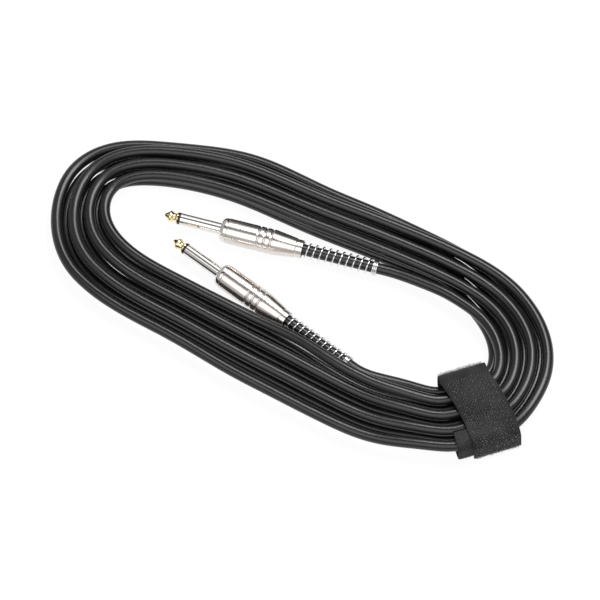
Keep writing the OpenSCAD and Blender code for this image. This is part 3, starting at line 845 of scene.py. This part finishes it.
    def route(self, first: PlugSpot, second: PlugSpot) -> list[Vector]:
        """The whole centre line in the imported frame, in millimetres, at even steps.

        Args:
            first: where plug 1 lies.
            second: where plug 2 lies.

        Returns:
            Points from inside plug 1 to inside plug 2.
        """
        start = [first.point(x) for x in self.held_x]
        end = [second.point(x) for x in reversed(self.held_x)]
        rings = round(self.spiral_turns * self.rings_per_turn)
        coil = [self.coil_point(self.spiral_turns * i / rings) - MIDDLE for i in range(rings + 1)]
        level = Vector((1.0, 1.0, 0.0))
        ahead_1 = ((coil[1] - coil[0]) * level).normalized()
        ahead_2 = ((coil[-1] - coil[-2]) * level).normalized()
        lead_1 = self.eased(first.point(self.straight_x), first.point(1) - first.point(0),
                            coil[0] - ahead_1 * self.diameter, ahead_1)
        lead_2 = self.eased(coil[-1] + ahead_2 * self.diameter, ahead_2,
                            second.point(self.straight_x), second.point(0) - second.point(1))
        line = smooth_line(start + lead_1 + coil + lead_2 + end)
        return relaxed(even_steps(line, self.step), self.ease_rounds)

    def eased(self, a: Vector, a_dir: Vector, b: Vector, b_dir: Vector) -> list[Vector]:
        """Four points of a curve that leaves a and reaches b in the given directions."""
        reach = self.lead_ease * (b - a).length
        c, d = a + reach * a_dir, b - reach * b_dir
        return [(1 - s) ** 3 * a + 3 * s * (1 - s) ** 2 * c + 3 * s * s * (1 - s) * d + s ** 3 * b
                for s in (0.0, 1 / 3, 2 / 3, 1.0)]


def smooth_line(control: Sequence[Vector], parts: int = 8) -> list[Vector]:
    """A smooth line through control points.

    Args:
        control: the points that it passes through.
        parts: how many points each stretch gets.

    Returns:
        The line's points.
    """
    made: list[Vector] = []
    last = len(control) - 1
    for i in range(last):
        a, b = control[i], control[i + 1]
        before, after = control[max(i - 1, 0)], control[min(i + 2, last)]
        span = (b - a).length
        ta = (b - before) / max((b - a).length + (a - before).length, 1e-9) * span
        tb = (after - a) / max((after - b).length + (b - a).length, 1e-9) * span
        for k in range(parts):
            t = k / parts
            made.append(a * (2 * t ** 3 - 3 * t ** 2 + 1) + ta * (t ** 3 - 2 * t ** 2 + t)
                        + b * (3 * t ** 2 - 2 * t ** 3) + tb * (t ** 3 - t ** 2))
    return made + [control[-1]]


def even_steps(line: Sequence[Vector], step: float) -> list[Vector]:
    """The same line at even steps of about that length."""
    runs = runs_of(line)
    count = max(2, round(runs[-1] / step))
    made, j = [], 0
    for i in range(count + 1):
        want = runs[-1] * i / count
        while j < len(runs) - 2 and runs[j + 1] < want:
            j += 1
        span = runs[j + 1] - runs[j]
        made.append(line[j].lerp(line[j + 1], (want - runs[j]) / span if span else 0.0))
    return made


def relaxed(line: Sequence[Vector], rounds: int) -> list[Vector]:
    """The line with its small kinks eased and its ends held."""
    made = list(line)
    for _ in range(rounds):
        made = [made[0]] + [made[i] * 0.5 + (made[i - 1] + made[i + 1]) * 0.25
                            for i in range(1, len(made) - 1)] + [made[-1]]
    return made


@dataclass
class Cable:
    """The cable as it shows: one jacket over the run from plug to plug."""

    run: CableRun
    plugs: tuple[PlugSpot, PlugSpot]
    seed: int = 7
    sway: float = 0.2
    sway_wave: float = 90.0
    lift: float = 0.08
    lift_wave: float = 120.0
    still_run: float = 70.0
    still_ease: float = 60.0
    strap_hold: float = 0.85
    strap_flat: float = 26.0
    strap_edge: float = 60.0
    skin_gap: float = 0.02
    exit_x: float = 77.0
    sharp_deg: float = 60.0

    def line(self) -> list[Vector]:
        """The centre line, with the small sideways sway of a cable that was coiled by hand."""
        route = self.run.route(*self.plugs)
        last = len(route) - 1
        shift = random.Random(self.seed).uniform(0, 50)
        made = []
        for i, (p, ahead) in enumerate(zip(route, headings(route))):
            run_mm = i * self.run.step
            side = Vector((ahead.y, -ahead.x, 0.0))
            from_end = min(i, last - i) * self.run.step
            flat = Vector((p.x + MIDDLE.x - self.run.foot.x, p.y + MIDDLE.y - self.run.foot.y))
            by_strap = self.strap_hold * swell(flat.length, self.strap_flat, self.strap_edge)
            loose = smooth_step((from_end - self.still_run) / self.still_ease) * (1 - by_strap)
            sway = noise.noise(Vector((run_mm / self.sway_wave + shift, 0.3, 0.7)))
            lift = noise.noise(Vector((run_mm / self.lift_wave + shift, 4.3, 1.7)))
            made.append(p + side * sway * self.sway * 2 * loose
                        + Vector((0, 0, 1)) * lift * self.lift * 2 * loose)
        return made

    def build(self, palette: Palette) -> None:
        line, sides = self.line(), self.run.sides
        radius, runs = self.run.diameter / 2 + self.skin_gap, runs_of(line)
        angles = [2 * math.pi * k / sides for k in range(sides)]
        draft, rows = MeshDraft(), []
        for p, ahead in zip(line, headings(line)):
            side = ahead.cross(Vector((0, 0, 1))).normalized()
            top = side.cross(ahead)
            rows.append([p + radius * (math.cos(a) * side + math.sin(a) * top) for a in angles])
        draft.tube(rows, [run * MM for run in runs],
                   [2 * math.pi * radius * k / sides * MM for k in range(sides + 1)])
        jacket = draft.piece("cable_jacket", [palette[Finish.JACKET]], self.sharp_deg)
        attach(jacket, "coil")
        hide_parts("cable_coil", "lead_1", "lead_2")
        self.plugs[0].point(self.exit_x) * MM
        round(runs[-1] * MM, 2)
        [p * MM for p in line]
        LOG.info("cable_jacket: %.0f mm of cable, %d rings", runs[-1], len(line))


# ---- A plug

@dataclass
class JackPlug:
    """One 6.35 mm jack plug, from its tip to the end of its bend-relief spring."""

    number: int
    spot: PlugSpot
    pin_d: float = 6.35
    pin_len: float = 31.0
    tip_len: float = 7.4
    tip_d: float = 6.2
    waist_d: float = 4.2
    ring_len: float = 1.4
    flange_d: float = 13.2
    flange_front_d: float = 8.6
    flange_len: float = 3.6
    thread_d: float = 11.4
    thread_len: float = 7.0
    thread_pitch: float = 1.0
    core_bore_d: float = 4.3
    barrel_d: float = 13.6
    straight_len: float = 25.9
    taper_len: float = 12.0
    taper_d: float = 10.4
    neck_d: float = 9.7
    neck_len: float = 3.4
    groove_x: float = 51.2
    groove_pitch: float = 3.5
    groove_w: float = 1.0
    groove_depth: float = 0.45
    spring_d: float = 8.7
    wire_d: float = 0.9
    spring_turns: float = 12.0
    spring_len: float = 38.2
    band_len: float = 3.5
    flange_rim: float = 0.9
    flange_steps: int = 12
    thread_depth: float = 0.5
    thread_relief: float = 0.6
    thread_flank: float = 2.6
    thread_steps: int = 96
    thread_room: float = 1.0
    fit_gap: float = 0.1
    groove_count: int = 3
    groove_lip: float = 0.15
    seat_bore_len: float = 3.45
    seat_bore_r: float = 5.0
    room_r: float = 5.6
    room_taper: float = 1.5
    spring_tuck: float = 3.5
    band_inset: float = 0.05
    band_pitch: float = 1.02
    rings_per_turn: int = 28
    wire_sides: int = 10

    @property
    def barrel_x(self) -> float:
        """Where the barrel begins."""
        return self.pin_len + self.flange_len

    @property
    def taper_x(self) -> float:
        """Where the barrel's taper begins."""
        return self.barrel_x + self.straight_len

    @property
    def neck_x(self) -> float:
        """Where the barrel's neck begins."""
        return self.taper_x + self.taper_len

    @property
    def barrel_end_x(self) -> float:
        """Where the barrel ends."""
        return self.neck_x + self.neck_len

    @property
    def band_x(self) -> float:
        """Where the spring's closed end begins."""
        return self.barrel_end_x + self.spring_len

    def named(self, part: str) -> str:
        """The full name of a part of this plug."""
        return f"plug_{self.number}_{part}"

    def placed(self, piece: bpy.types.Object, body: str, node: str) -> None:
        """Lets a piece ride on a body and stand for a node."""
        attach(piece, body)
        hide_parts(self.named(node))
        LOG.info("%s: %d faces", piece.name, len(piece.data.polygons))

    def turned_part(self, part: str, outline: Outline, finish: Finish, palette: Palette,
                    body: str, node: str, slot: str, **how: object) -> None:
        """Turns a part about the plug's axis and places it; how goes to the turning."""
        piece = turned(self.spot, self.named(part), outline, palette[finish], **how)
        self.placed(piece, body, node)

    def tip(self, palette: Palette) -> None:
        """The gold-plated tip: a pointed head, a waist and a shoulder."""
        head = self.tip_d / 2
        bore = 1.15
        outline = rounded([
            (0, 0, 0), (0.5, 0.05, 0.1), (0.95, 0.35, 0.3), (head - 0.2, 2.75, 0.25),
            (head, 3.1, 0.15), (head - 0.02, 3.55, 0.15), (head - 0.2, 4.0, 0.3),
            (self.waist_d / 2 + 0.1, 5.3, 0.45), (self.waist_d / 2 + 0.05, 5.85, 0.3),
            (head - 0.25, self.tip_len - 0.7, 0.2), (head, self.tip_len - 0.4, 0.12),
            (head, self.tip_len, 0.05), (bore, self.tip_len, 0), (bore, self.tip_len - 1.2, 0),
            (0, self.tip_len - 1.2, 0)])
        self.turned_part("tip_contact", outline, Finish.GOLD, palette, "coil", "tip",
                         "gold_plate")

    def ring(self, palette: Palette) -> None:
        """The black insulating ring behind the tip."""
        a, b, r = self.tip_len, self.tip_len + self.ring_len, self.pin_d / 2
        outline = rounded([(1.2, a + 0.01, 0), (r - 0.02, a + 0.01, 0.1), (r - 0.02, b - 0.01, 0.1),
                           (1.2, b - 0.01, 0)])
        self.turned_part("tip_insulator", outline, Finish.RING, palette, "coil", "tip_ring",
                         "insulator_black", closed=True)

    def sleeve(self, palette: Palette) -> None:
        """The sleeve contact with its rounded flange and its cut thread."""
        r, edge, front = self.pin_d / 2, self.flange_d / 2, self.flange_front_d / 2
        bore, start = self.core_bore_d / 2, self.tip_len + self.ring_len
        crest, root = self.thread_d / 2, self.thread_d / 2 - self.thread_depth
        end, nose = self.barrel_x + self.thread_len, self.flange_len - self.flange_rim
        cut_from, cut_to = self.barrel_x + self.thread_relief, end - self.thread_relief / 2
        outline = rounded([(bore, start, 0), (r, start, 0.12), (r, self.pin_len - 0.02, 0.1),
                           (front - 0.3, self.pin_len, 0.1)])
        outline += [(front + (edge - front) * math.sin(a), self.pin_len + nose * (1 - math.cos(a)))
                    for a in (k * math.pi / 2 / self.flange_steps
                              for k in range(self.flange_steps + 1))]
        outline += rounded([(edge, self.pin_len + nose + 0.2, 0), (edge, self.barrel_x, 0.12),
                            (root, self.barrel_x, 0.05), (root, cut_from, 0)])
        outline += [(crest, cut_from + (cut_to - cut_from) * k / self.thread_steps)
                    for k in range(self.thread_steps + 1)]
        outline += [(root, end), (bore, end)]

        def cut(radius: float, x: float, angle: float) -> float:
            """The radius of the thread at a place and an angle."""
            if abs(radius - crest) > 1e-6:
                return radius
            phase = (x / self.thread_pitch - angle / (2 * math.pi)) % 1.0
            return radius - self.thread_depth * min(1.0, abs(phase - 0.5) * self.thread_flank)

        self.turned_part("sleeve_contact", outline, Finish.PIN, palette, "coil", "sleeve",
                         "pin_nickel", closed=True, radius_at=cut)

    def barrel(self, palette: Palette) -> None:
        """The screw-on barrel with its grip grooves, its taper and its neck."""
        r, bore = self.barrel_d / 2, self.thread_d / 2 + self.fit_gap
        neck_r, neck_bore = self.neck_d / 2, self.spring_d / 2 + self.fit_gap
        front, deep = self.barrel_x + 0.05, r - self.groove_depth
        seat_x, room_x = self.neck_x - self.seat_bore_len, self.taper_x + self.room_taper
        thread_x = self.barrel_x + self.thread_len + self.thread_room
        w, lip = self.groove_w, self.groove_lip
        corners = [(bore, front, 0), (r - 0.05, front, 0.35), (r, front + 0.5, 0.3)]
        for x in (self.groove_x + i * self.groove_pitch for i in range(self.groove_count)):
            corners += [(r, x - lip, 0.35), (deep, x + w * 0.33, 0.3),
                        (deep, x + w * 0.66, 0.3), (r, x + w + lip, 0.35)]
        corners += [(r, self.taper_x, 1.4), (self.taper_d / 2, self.neck_x - 0.3, 0.25),
                    (neck_r, self.neck_x, 0.2), (neck_r, self.barrel_end_x, 0.3),
                    (neck_bore, self.barrel_end_x, 0.15), (neck_bore, seat_x, 0),
                    (self.seat_bore_r, seat_x, 0), (self.seat_bore_r, room_x, 0),
                    (self.room_r, room_x, 0), (self.room_r, thread_x, 0), (bore, thread_x, 0)]
        self.turned_part("barrel_shell", rounded(corners), Finish.BARREL, palette,
                         f"barrel_{self.number}", "barrel", "barrel_nickel", closed=True)

    def coiled(self, name: str, start: float, end: float, turns: float, radius: float,
               palette: Palette) -> bpy.types.Object:
        """Winds round wire about the plug's axis, as a Geometry Nodes recipe.

        Args:
            name: the piece's name.
            start: where the wire's centre begins along the axis.
            end: where it ends.
            turns: how many turns it makes.
            radius: of the wire's centre line.
            palette: the finishes.

        Returns:
            The wire.
        """
        r = Recipe(name + "_recipe", {
            "Turns": float(turns), "Coil radius": radius * MM, "Length": (end - start) * MM,
            "Wire radius": self.wire_d / 2 * MM, "Rings per turn": self.rings_per_turn,
            "Wire sides": self.wire_sides})
        helix = r.node("GeometryNodeCurveSpiral", None, {
            "Resolution": r.size("Rings per turn"), "Rotations": r.size("Turns"),
            "Start Radius": r.size("Coil radius"), "End Radius": r.size("Coil radius"),
            "Height": r.size("Length")})
        wire = r.node("GeometryNodeCurvePrimitiveCircle", None, {
            "Resolution": r.size("Wire sides"), "Radius": r.size("Wire radius")})
        tube = r.node("GeometryNodeCurveToMesh", None, {"Curve": helix, "Profile Curve": wire,
                                                       "Fill Caps": True})
        laid = r.node("GeometryNodeTransform", None, {
            "Geometry": tube, "Rotation": r.combined(0.0, math.pi / 2, 0.0)})
        r.finish(laid, palette[Finish.SPRING])
        seed = bpy.data.meshes.new(name + "_seed")
        return r.applied(name, seed, self.spot.matrix() @ Matrix.Translation((start * MM, 0, 0)))

    def spring(self, palette: Palette) -> None:
        """The bend-relief spring, and the close-wound turns that end it."""
        body, wire = f"spring_{self.number}", self.wire_d
        radius = (self.spring_d - wire) / 2
        main = self.coiled(self.named("relief_spring"), self.neck_x - self.spring_tuck + wire,
                           self.band_x - wire * 0.2, self.spring_turns, radius, palette)
        self.placed(main, body, "spring")
        closed = self.coiled(self.named("closed_turns"), self.band_x + wire / 2,
                             self.band_x + self.band_len - wire / 2,
                             (self.band_len - wire) / (wire * self.band_pitch),
                             radius - self.band_inset, palette)
        self.placed(closed, body, "spring_band")

    def inside(self, frame: dict, palette: Palette) -> None:
        """Dresses the pieces inside the barrel, which keep their own solids."""
        finishes = {"rod": Finish.ROD, "core_tube": Finish.NATURAL, "ground_lug": Finish.LUG_TIN,
                    "washer": Finish.FIBRE, "tip_lug": Finish.LUG_BRASS,
                    "conductor": Finish.COPPER, "core_insulation": Finish.CORE,
                    "shield": Finish.COPPER, "jacket_end": Finish.JACKET,
                    "solder": Finish.SOLDER, "liner": Finish.RING, "spring_seat": Finish.LUG_TIN}
        for part, finish in finishes.items():
            dress(frame["nodes"][self.named(part)], palette[finish])

    def build(self, frame: dict, palette: Palette) -> None:
        """Builds and dresses the whole plug."""
        self.tip(palette)
        self.ring(palette)
        self.sleeve(palette)
        self.barrel(palette)
        self.spring(palette)
        self.inside(frame, palette)
        LOG.info("plug %d is dressed", self.number)


def dress(node: bpy.types.Object, material: bpy.types.Material) -> None:
    """Gives a node its material."""
    node.data.materials.clear()
    node.data.materials.append(material)


# ---- The strap

@dataclass(frozen=True)
class Stretch:
    """A length of tape: its middle line on the strap's section, and how its edges lean off."""

    name: str
    line: list[Vector]
    total_lean: float
    root: float
    turned_over: bool


@dataclass(frozen=True)
class Pile:
    """Bent threads on a stretch of tape, as hooks or as loops.

    Pitch, height, wire and reach are in millimetres, cover is a share of the stretch, and spread
    is how much the threads differ in tilt, in radians.
    """

    name: str
    on_tail: bool
    pitch: float
    cover: tuple[float, float]
    height: float
    wire: float
    reach: float
    spread: float
    finish: Finish


@dataclass
class Strap:
    """The hook-and-loop tape round the bundle: the part that goes round it, and its free tail."""

    run: CableRun
    width: float = 25.0
    thickness: float = 1.3
    gap: float = 0.3
    side_in: float = -8.7201
    side_out: float = 34.3322
    ceiling: float = 15.3339
    corner: float = 3.0
    corner_steps: int = 10
    tail_lean: float = 5.5
    lap_lean: float = 2.5
    lap: float = 6.0
    lean_power: float = 2.2
    fuzzy_edge: float = 0.7
    edge_round: float = 0.5
    edge_steps: int = 6
    columns: int = 24
    station_step: float = 0.8
    tail_middle_z: float = 7.0
    tail_foot_z: float = 2.2
    bare_from: float = 0.9
    bare_to: float = 0.8
    rooted: float = 0.05
    thread_rise: float = 1.6
    thread_end: float = 0.55
    thread_sides: int = 4
    smallest: float = 0.75
    largest: float = 1.2
    sharp_deg: float = 50.0
    seed: int = 11
    piles: tuple[Pile, ...] = (
        Pile("strap_tail_hooks", True, 1.75, (0.0, 1.0), 0.6, 0.32, 0.5, 0.10, Finish.HOOK),
        Pile("strap_round_hooks", False, 1.75, (0.0, 0.42), 0.4, 0.2, 0.4, 0.12, Finish.HOOK),
        Pile("strap_fold_fuzz", False, 0.62, (0.85, 0.925), 1.6, 0.10, 0.6, 0.95, Finish.PILE),
        Pile("strap_end_fuzz", True, 0.62, (0.955, 0.995), 0.9, 0.10, 0.6, 0.95, Finish.PILE))

    @property
    def hinge(self) -> float:
        """Where the tail's root lies, measured outwards."""
        return self.side_in + self.corner + 2

    @property
    def lap_end(self) -> float:
        """Where the inner layer ends, under the tail."""
        return self.side_out - self.corner - self.lap

    def world(self, out: float, along: float, z: float) -> Vector:
        """A point of the strap's own frame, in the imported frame, in millimetres."""
        flat = self.run.foot + self.run.out * out + self.run.along * along
        return Vector((flat.x, flat.y, z)) - MIDDLE

    def arc(self, out: float, z: float, r: float, start: float, end: float) -> list[Vector]:
        """Points on an arc of the strap's section."""
        angles = (math.radians(start + (end - start) * k / self.corner_steps)
                  for k in range(self.corner_steps + 1))
        return [Vector((out + r * math.cos(a), z + r * math.sin(a))) for a in angles]

    def wrap_line(self) -> list[Vector]:
        """The middle line of the part that goes round, from its end on top to the tail's root."""
        mid, c = self.thickness / 2, self.corner
        r, high, low = c + mid, self.ceiling - c, self.thickness + c
        turns = ((self.side_out - c, high, 90), (self.side_out - c, low, 0),
                 (self.side_in + c, low, -90), (self.side_in + c, high, 180))
        made = [Vector((self.lap_end, self.ceiling + mid))]
        for out, z, start in turns:
            made += self.arc(out, z, r, start, start - 90)
        return made + [Vector((self.hinge, self.ceiling + mid))]

    def tail_line(self) -> list[Vector]:
        """The middle line of the tail, from its root to its free end."""
        mid, c, step = self.thickness / 2, self.corner, self.thickness + self.gap
        top, side = self.ceiling + mid, self.side_out + step + mid
        flat = ((self.hinge + 0.05, 0.0), (self.hinge + 2, 0.0), (self.lap_end - 5, 0.0),
                (self.lap_end - 2.5, 0.45), (self.lap_end, 0.95))
        return [Vector((out, top + step * share)) for out, share in flat] \
            + self.arc(self.side_out - c, self.ceiling - c, c + step + mid, 90, 0) \
            + [Vector((side, self.tail_middle_z)), Vector((side, self.tail_foot_z))]

    def lean(self, out: float, tape: Stretch) -> float:
        """How far the tape's edges lean off at a place of its section."""
        share = max(0.0, min(1.0, (out - tape.root) / (self.side_out - tape.root)))
        return tape.total_lean * (1 - (1 - share) ** self.lean_power)

    def section(self) -> list[tuple[float, float]]:
        """The tape's cross-section, as (across, through) from its middle, with soft edges."""
        flat, t = self.width / 2 + self.fuzzy_edge - self.edge_round, self.thickness / 2
        made = []
        for side in (1, -1):
            made += [(side * (2 * flat * k / self.columns - flat), side * t)
                     for k in range(self.columns + 1)]
            made += [(side * (flat + self.edge_round * math.sin(a)), side * t * math.cos(a))
                     for a in (math.pi * k / self.edge_steps for k in range(1, self.edge_steps))]
        return made

    def ribbon(self, tape: Stretch, palette: Palette) -> tuple[bpy.types.Object, float]:
        """Builds a length of tape.

        Args:
            tape: its line and its lean.
            palette: the finishes.

        Returns:
            The piece, and its length in millimetres.
        """
        stations = even_steps([p.to_3d() for p in tape.line], self.station_step)
        profile, runs = self.section(), runs_of(stations)
        draft, rows = MeshDraft(), []
        for p, ahead in zip(stations, headings(stations)):
            up = Vector((-ahead.y, ahead.x)) * (-1 if tape.turned_over else 1)
            shift = self.lean(p.x, tape)
            rows.append([self.world(p.x + up.x * t, across + shift, p.y + up.y * t)
                         for across, t in profile])
        draft.tube(rows, [run * MM for run in runs],
                   [run * MM for run in runs_of(profile + profile[:1])])
        return draft.piece(tape.name, [palette[Finish.TAPE]], self.sharp_deg), runs[-1]

    def patch(self, tape: Stretch, pile: Pile) -> bpy.types.Mesh:
        """A carrier whose points lie staggered on the tape's outer side, one to a thread.

        Args:
            tape: the length of tape.
            pile: the threads that it is to carry.

        Returns:
            The carrier mesh, with each point's direction away from the tape in "out_dir".
        """
        stations = even_steps([p.to_3d() for p in tape.line], pile.pitch / 2)
        low, high = pile.cover
        t = self.thickness / 2 - self.rooted
        points, dirs = [], []
        last = len(stations) - 1
        for i, (p, ahead) in enumerate(zip(stations, headings(stations))):
            if i in (0, last) or not low <= i / last <= high:
                continue
            up = Vector((-ahead.y, ahead.x))
            flat = self.run.out * up.x
            across = -self.width / 2 + self.bare_from + (pile.pitch / 2 if i % 2 else 0.0)
            while across < self.width / 2 - self.bare_to:
                points.append(MM * self.world(p.x + up.x * t, across + self.lean(p.x, tape),
                                              p.y + up.y * t))
                dirs.append((flat.x, flat.y, up.y))
                across += pile.pitch
        mesh = bpy.data.meshes.new(pile.name + "_points")
        mesh.from_pydata(points, [], [])
        held = mesh.attributes.new("out_dir", "FLOAT_VECTOR", "POINT")
        held.data.foreach_set("vector", [c for d in dirs for c in d])
        return mesh

    def threads(self, tape: Stretch, pile: Pile, seed: int, palette: Palette) -> bpy.types.Object:
        """Sets a bent thread on each point of a patch, as a Geometry Nodes recipe.

        Args:
            tape: the length of tape.
            pile: the threads' sizes, places and finish.
            seed: of the random turns and tilts.
            palette: the finishes.

        Returns:
            The threads as one piece.
        """
        r = Recipe(pile.name + "_recipe", {
            "Height": pile.height * MM, "Thread radius": pile.wire / 2 * MM,
            "Reach": pile.reach * MM, "Spread": pile.spread, "Seed": seed})
        height, reach, spread, seeded = (r.size(n) for n in ("Height", "Reach", "Spread", "Seed"))
        arch = r.node("GeometryNodeCurveQuadraticBezier", None, {
            "Resolution": self.thread_sides, "Start": (0.0, 0.0, 0.0),
            "Middle": r.combined(0.0, 0.0, height * self.thread_rise),
            "End": r.combined(reach, 0.0, height * self.thread_end)})
        loop = r.node("GeometryNodeCurvePrimitiveCircle", None, {
            "Resolution": self.thread_sides, "Radius": r.size("Thread radius")})
        thread = r.node("GeometryNodeCurveToMesh", None, {"Curve": arch, "Profile Curve": loop,
                                                         "Fill Caps": True})
        away = r.node("GeometryNodeInputNamedAttribute", {"data_type": "FLOAT_VECTOR"},
                      {"Name": "out_dir"})
        upright = r.node("FunctionNodeAlignRotationToVector", {"axis": "Z"}, {"Vector": away})
        tilt = r.node("FunctionNodeRandomValue", {"data_type": "FLOAT_VECTOR"}, {
            0: r.combined(spread * -1.0, spread * -1.0, -math.pi),
            1: r.combined(spread, spread, math.pi), "Seed": seeded})
        turn = r.node("FunctionNodeRotateRotation", {"rotation_space": "LOCAL"}, {
            0: upright, 1: r.node("FunctionNodeEulerToRotation", None, {0: tilt})})
        scale = r.node("FunctionNodeRandomValue", {"data_type": "FLOAT"}, {
            2: self.smallest, 3: self.largest, "Seed": seeded}, 1)
        points = r.node("GeometryNodeMeshToPoints", None, {0: r.size("Geometry")})
        planted = r.node("GeometryNodeInstanceOnPoints", None, {
            "Points": points, "Instance": thread, "Rotation": turn, "Scale": scale})
        r.finish(planted, palette[pile.finish])
        return r.applied(pile.name, self.patch(tape, pile))

    def build(self, palette: Palette) -> None:
        wrap = Stretch("strap_round", self.wrap_line(), -self.lap_lean,
                       (self.side_in + self.side_out) / 2, True)
        tail = Stretch("strap_free_tail", self.tail_line(), self.tail_lean, self.hinge, False)
        round_tape, round_run = self.ribbon(wrap, palette)
        tail_tape, tail_run = self.ribbon(tail, palette)
        held: dict[bool, list[bpy.types.Object]] = {False: [], True: []}
        for i, pile in enumerate(self.piles):
            tape = tail if pile.on_tail else wrap
            held[pile.on_tail].append(self.threads(tape, pile, self.seed + i, palette))
        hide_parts("strap_wrap")
        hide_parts("strap_tail")
        for body, pieces in (("coil", [round_tape] + held[False]),
                             ("strap_tail", [tail_tape] + held[True])):
            for piece in pieces:
                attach(piece, body)
                LOG.info("%s: %d faces", piece.name, len(piece.data.polygons))
        round_run * MM
        held[False]
        tail_run * MM
        held[True]


# ---- The studio

def rectangle(name: str, size: tuple[float, float],
              material: bpy.types.Material) -> bpy.types.Object:
    """A flat rectangle round the origin, of that width and depth in metres."""
    w, h = size[0] / 2, size[1] / 2
    mesh = bpy.data.meshes.new(name)
    mesh.from_pydata([(-w, -h, 0), (w, -h, 0), (w, h, 0), (-w, h, 0)], [], [(0, 1, 2, 3)])
    mesh.materials.append(material)
    return linked(name, mesh)


@dataclass(frozen=True)
class Hanging:
    """Where a light or a card hangs, facing the object.

    Azimuth and elevation are a camera's, in degrees; distance and size are in metres.
    """

    name: str
    azimuth: float
    elevation: float
    distance: float
    size: tuple[float, float] = (0.0, 0.0)


@dataclass
class Studio:
    """A white table, soft light from above and a long lens."""

    view: Hanging = Hanging("camera", 27.0, 66.0, 1.4)
    target: tuple[float, float, float] = (0.000731, -0.002475, 0.0)
    view_m: float = 0.318
    near_m: float = 0.05
    far_m: float = 10.0
    table_m: float = 6.0
    world_strength: float = 0.52
    table_glow: float = 0.91

    def hang(self, thing: bpy.types.Object, at: Hanging) -> None:
        """Places a camera, a light or a card, turned towards the object."""
        a, e = math.radians(at.azimuth), math.radians(at.elevation)
        out = Vector((math.sin(a) * math.cos(e), -math.cos(a) * math.cos(e), math.sin(e)))
        thing.rotation_mode = "QUATERNION"
        thing.location = Vector(self.target) + out * at.distance
        thing.rotation_quaternion = (-out).to_track_quat("-Z", "Y")

    def camera(self) -> None:
        """Sets up the camera, with no perspective to speak of."""
        data = bpy.data.cameras.new("camera")
        data.type = "ORTHO"
        data.ortho_scale = self.view_m
        data.clip_start, data.clip_end = self.near_m, self.far_m
        camera = linked("camera", data)
        self.hang(camera, self.view)
        bpy.context.scene.camera = camera

    def softbox(self, at: Hanging, radiance: float) -> None:
        """Hangs a rectangular light whose face is that bright, where 1 is white."""
        data = bpy.data.lights.new(at.name, "AREA")
        data.shape = "RECTANGLE"
        data.size, data.size_y = at.size
        data.energy = radiance * at.size[0] * at.size[1] * math.pi
        self.hang(linked(at.name, data), at)

    def flag(self, at: Hanging, tone: float) -> None:
        """Hangs a card of that tone, where 1 is white, that only shows in the gloss of the metal."""
        paint = Paint(at.name + "_cloth")
        shade = paint.noise(paint.place(), 40.0)
        material = paint.surface(Base_Color=paint.blend(shade, (tone * 0.9,) * 3, (tone,) * 3),
                                 Roughness=0.9)
        card = rectangle(at.name, at.size, material)
        self.hang(card, at)
        card.visible_camera = card.visible_diffuse = card.visible_shadow = False

    def seen(self, graph: Graph) -> Socket:
        """1 for rays that show the background, 0 for those that only light the object."""
        node = graph.node("ShaderNodeLightPath").output.node
        camera, glossy, through = (Socket(graph, node.outputs[n]) for n in
                                   ("Is Camera Ray", "Is Glossy Ray", "Is Transmission Ray"))
        return (camera + glossy + through).clamped()

    def world(self) -> None:
        """An evenly lit room."""
        room = bpy.data.worlds.new("room")
        bpy.context.scene.world = room
        room.use_nodes = True
        graph = Graph(room.node_tree)
        light = graph.node("ShaderNodeBackground", None, {"Color": (1.0, 1.0, 1.0),
                                                          "Strength": self.world_strength})
        graph.node("ShaderNodeOutputWorld", None, {"Surface": light})

    def floor(self) -> None:
        """A white table that keeps the object's shadow."""
        paint = Paint("white_table")
        grain = paint.noise(paint.place(), 30.0)
        lit = paint.node("ShaderNodeBsdfDiffuse", None, {"Color": paint.blend(
            grain, (0.095, 0.095, 0.095), (0.105, 0.105, 0.105))})
        glow = paint.node("ShaderNodeEmission", None, {
            "Color": (1.0, 1.0, 1.0), "Strength": self.seen(paint) * self.table_glow})
        both = paint.node("ShaderNodeAddShader", None, {0: lit, 1: glow})
        paint.node("ShaderNodeOutputMaterial", None, {"Surface": both})
        rectangle("table", (self.table_m, self.table_m), paint.material)

    def build(self) -> None:
        """Sets up the room, the lights and the cards."""
        bpy.context.scene.view_settings.view_transform = "Standard"
        self.world()
        self.floor()
        self.softbox(Hanging("front_box", 10.0, 56.0, 1.6, (2.0, 1.2)), 1.45)
        self.softbox(Hanging("back_box", -10.0, 125.0, 1.5, (1.8, 0.8)), 1.15)
        self.softbox(Hanging("strip_box", -20.0, 118.0, 1.2, (1.1, 0.34)), 8.2)
        self.flag(Hanging("back_card", -12.0, 168.0, 1.2, (1.6, 0.6)), 0.03)
        self.flag(Hanging("top_card", 8.0, 95.0, 1.0, (1.8, 0.22)), 0.45)
        LOG.info("the studio is set")


def write_sizes() -> None:
    """Updates the scene's view layer."""
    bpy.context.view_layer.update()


def main() -> None:
    """Builds the dressed part in order."""
    logging.basicConfig(level=logging.INFO, format="%(message)s")
    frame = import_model()
    studio = Studio()
    studio.camera()
    palette = Palette()
    run = CableRun()
    spots = (PlugSpot(-85.2, 2.6, 11.6), PlugSpot(-74.2, -8.4, -10.8))
    Cable(run, spots).build(palette)
    for number, spot in enumerate(spots, 1):
        JackPlug(number, spot).build(frame, palette)
    Strap(run).build(palette)
    studio.build()
    write_sizes()


if __name__ == "__main__":
    main()
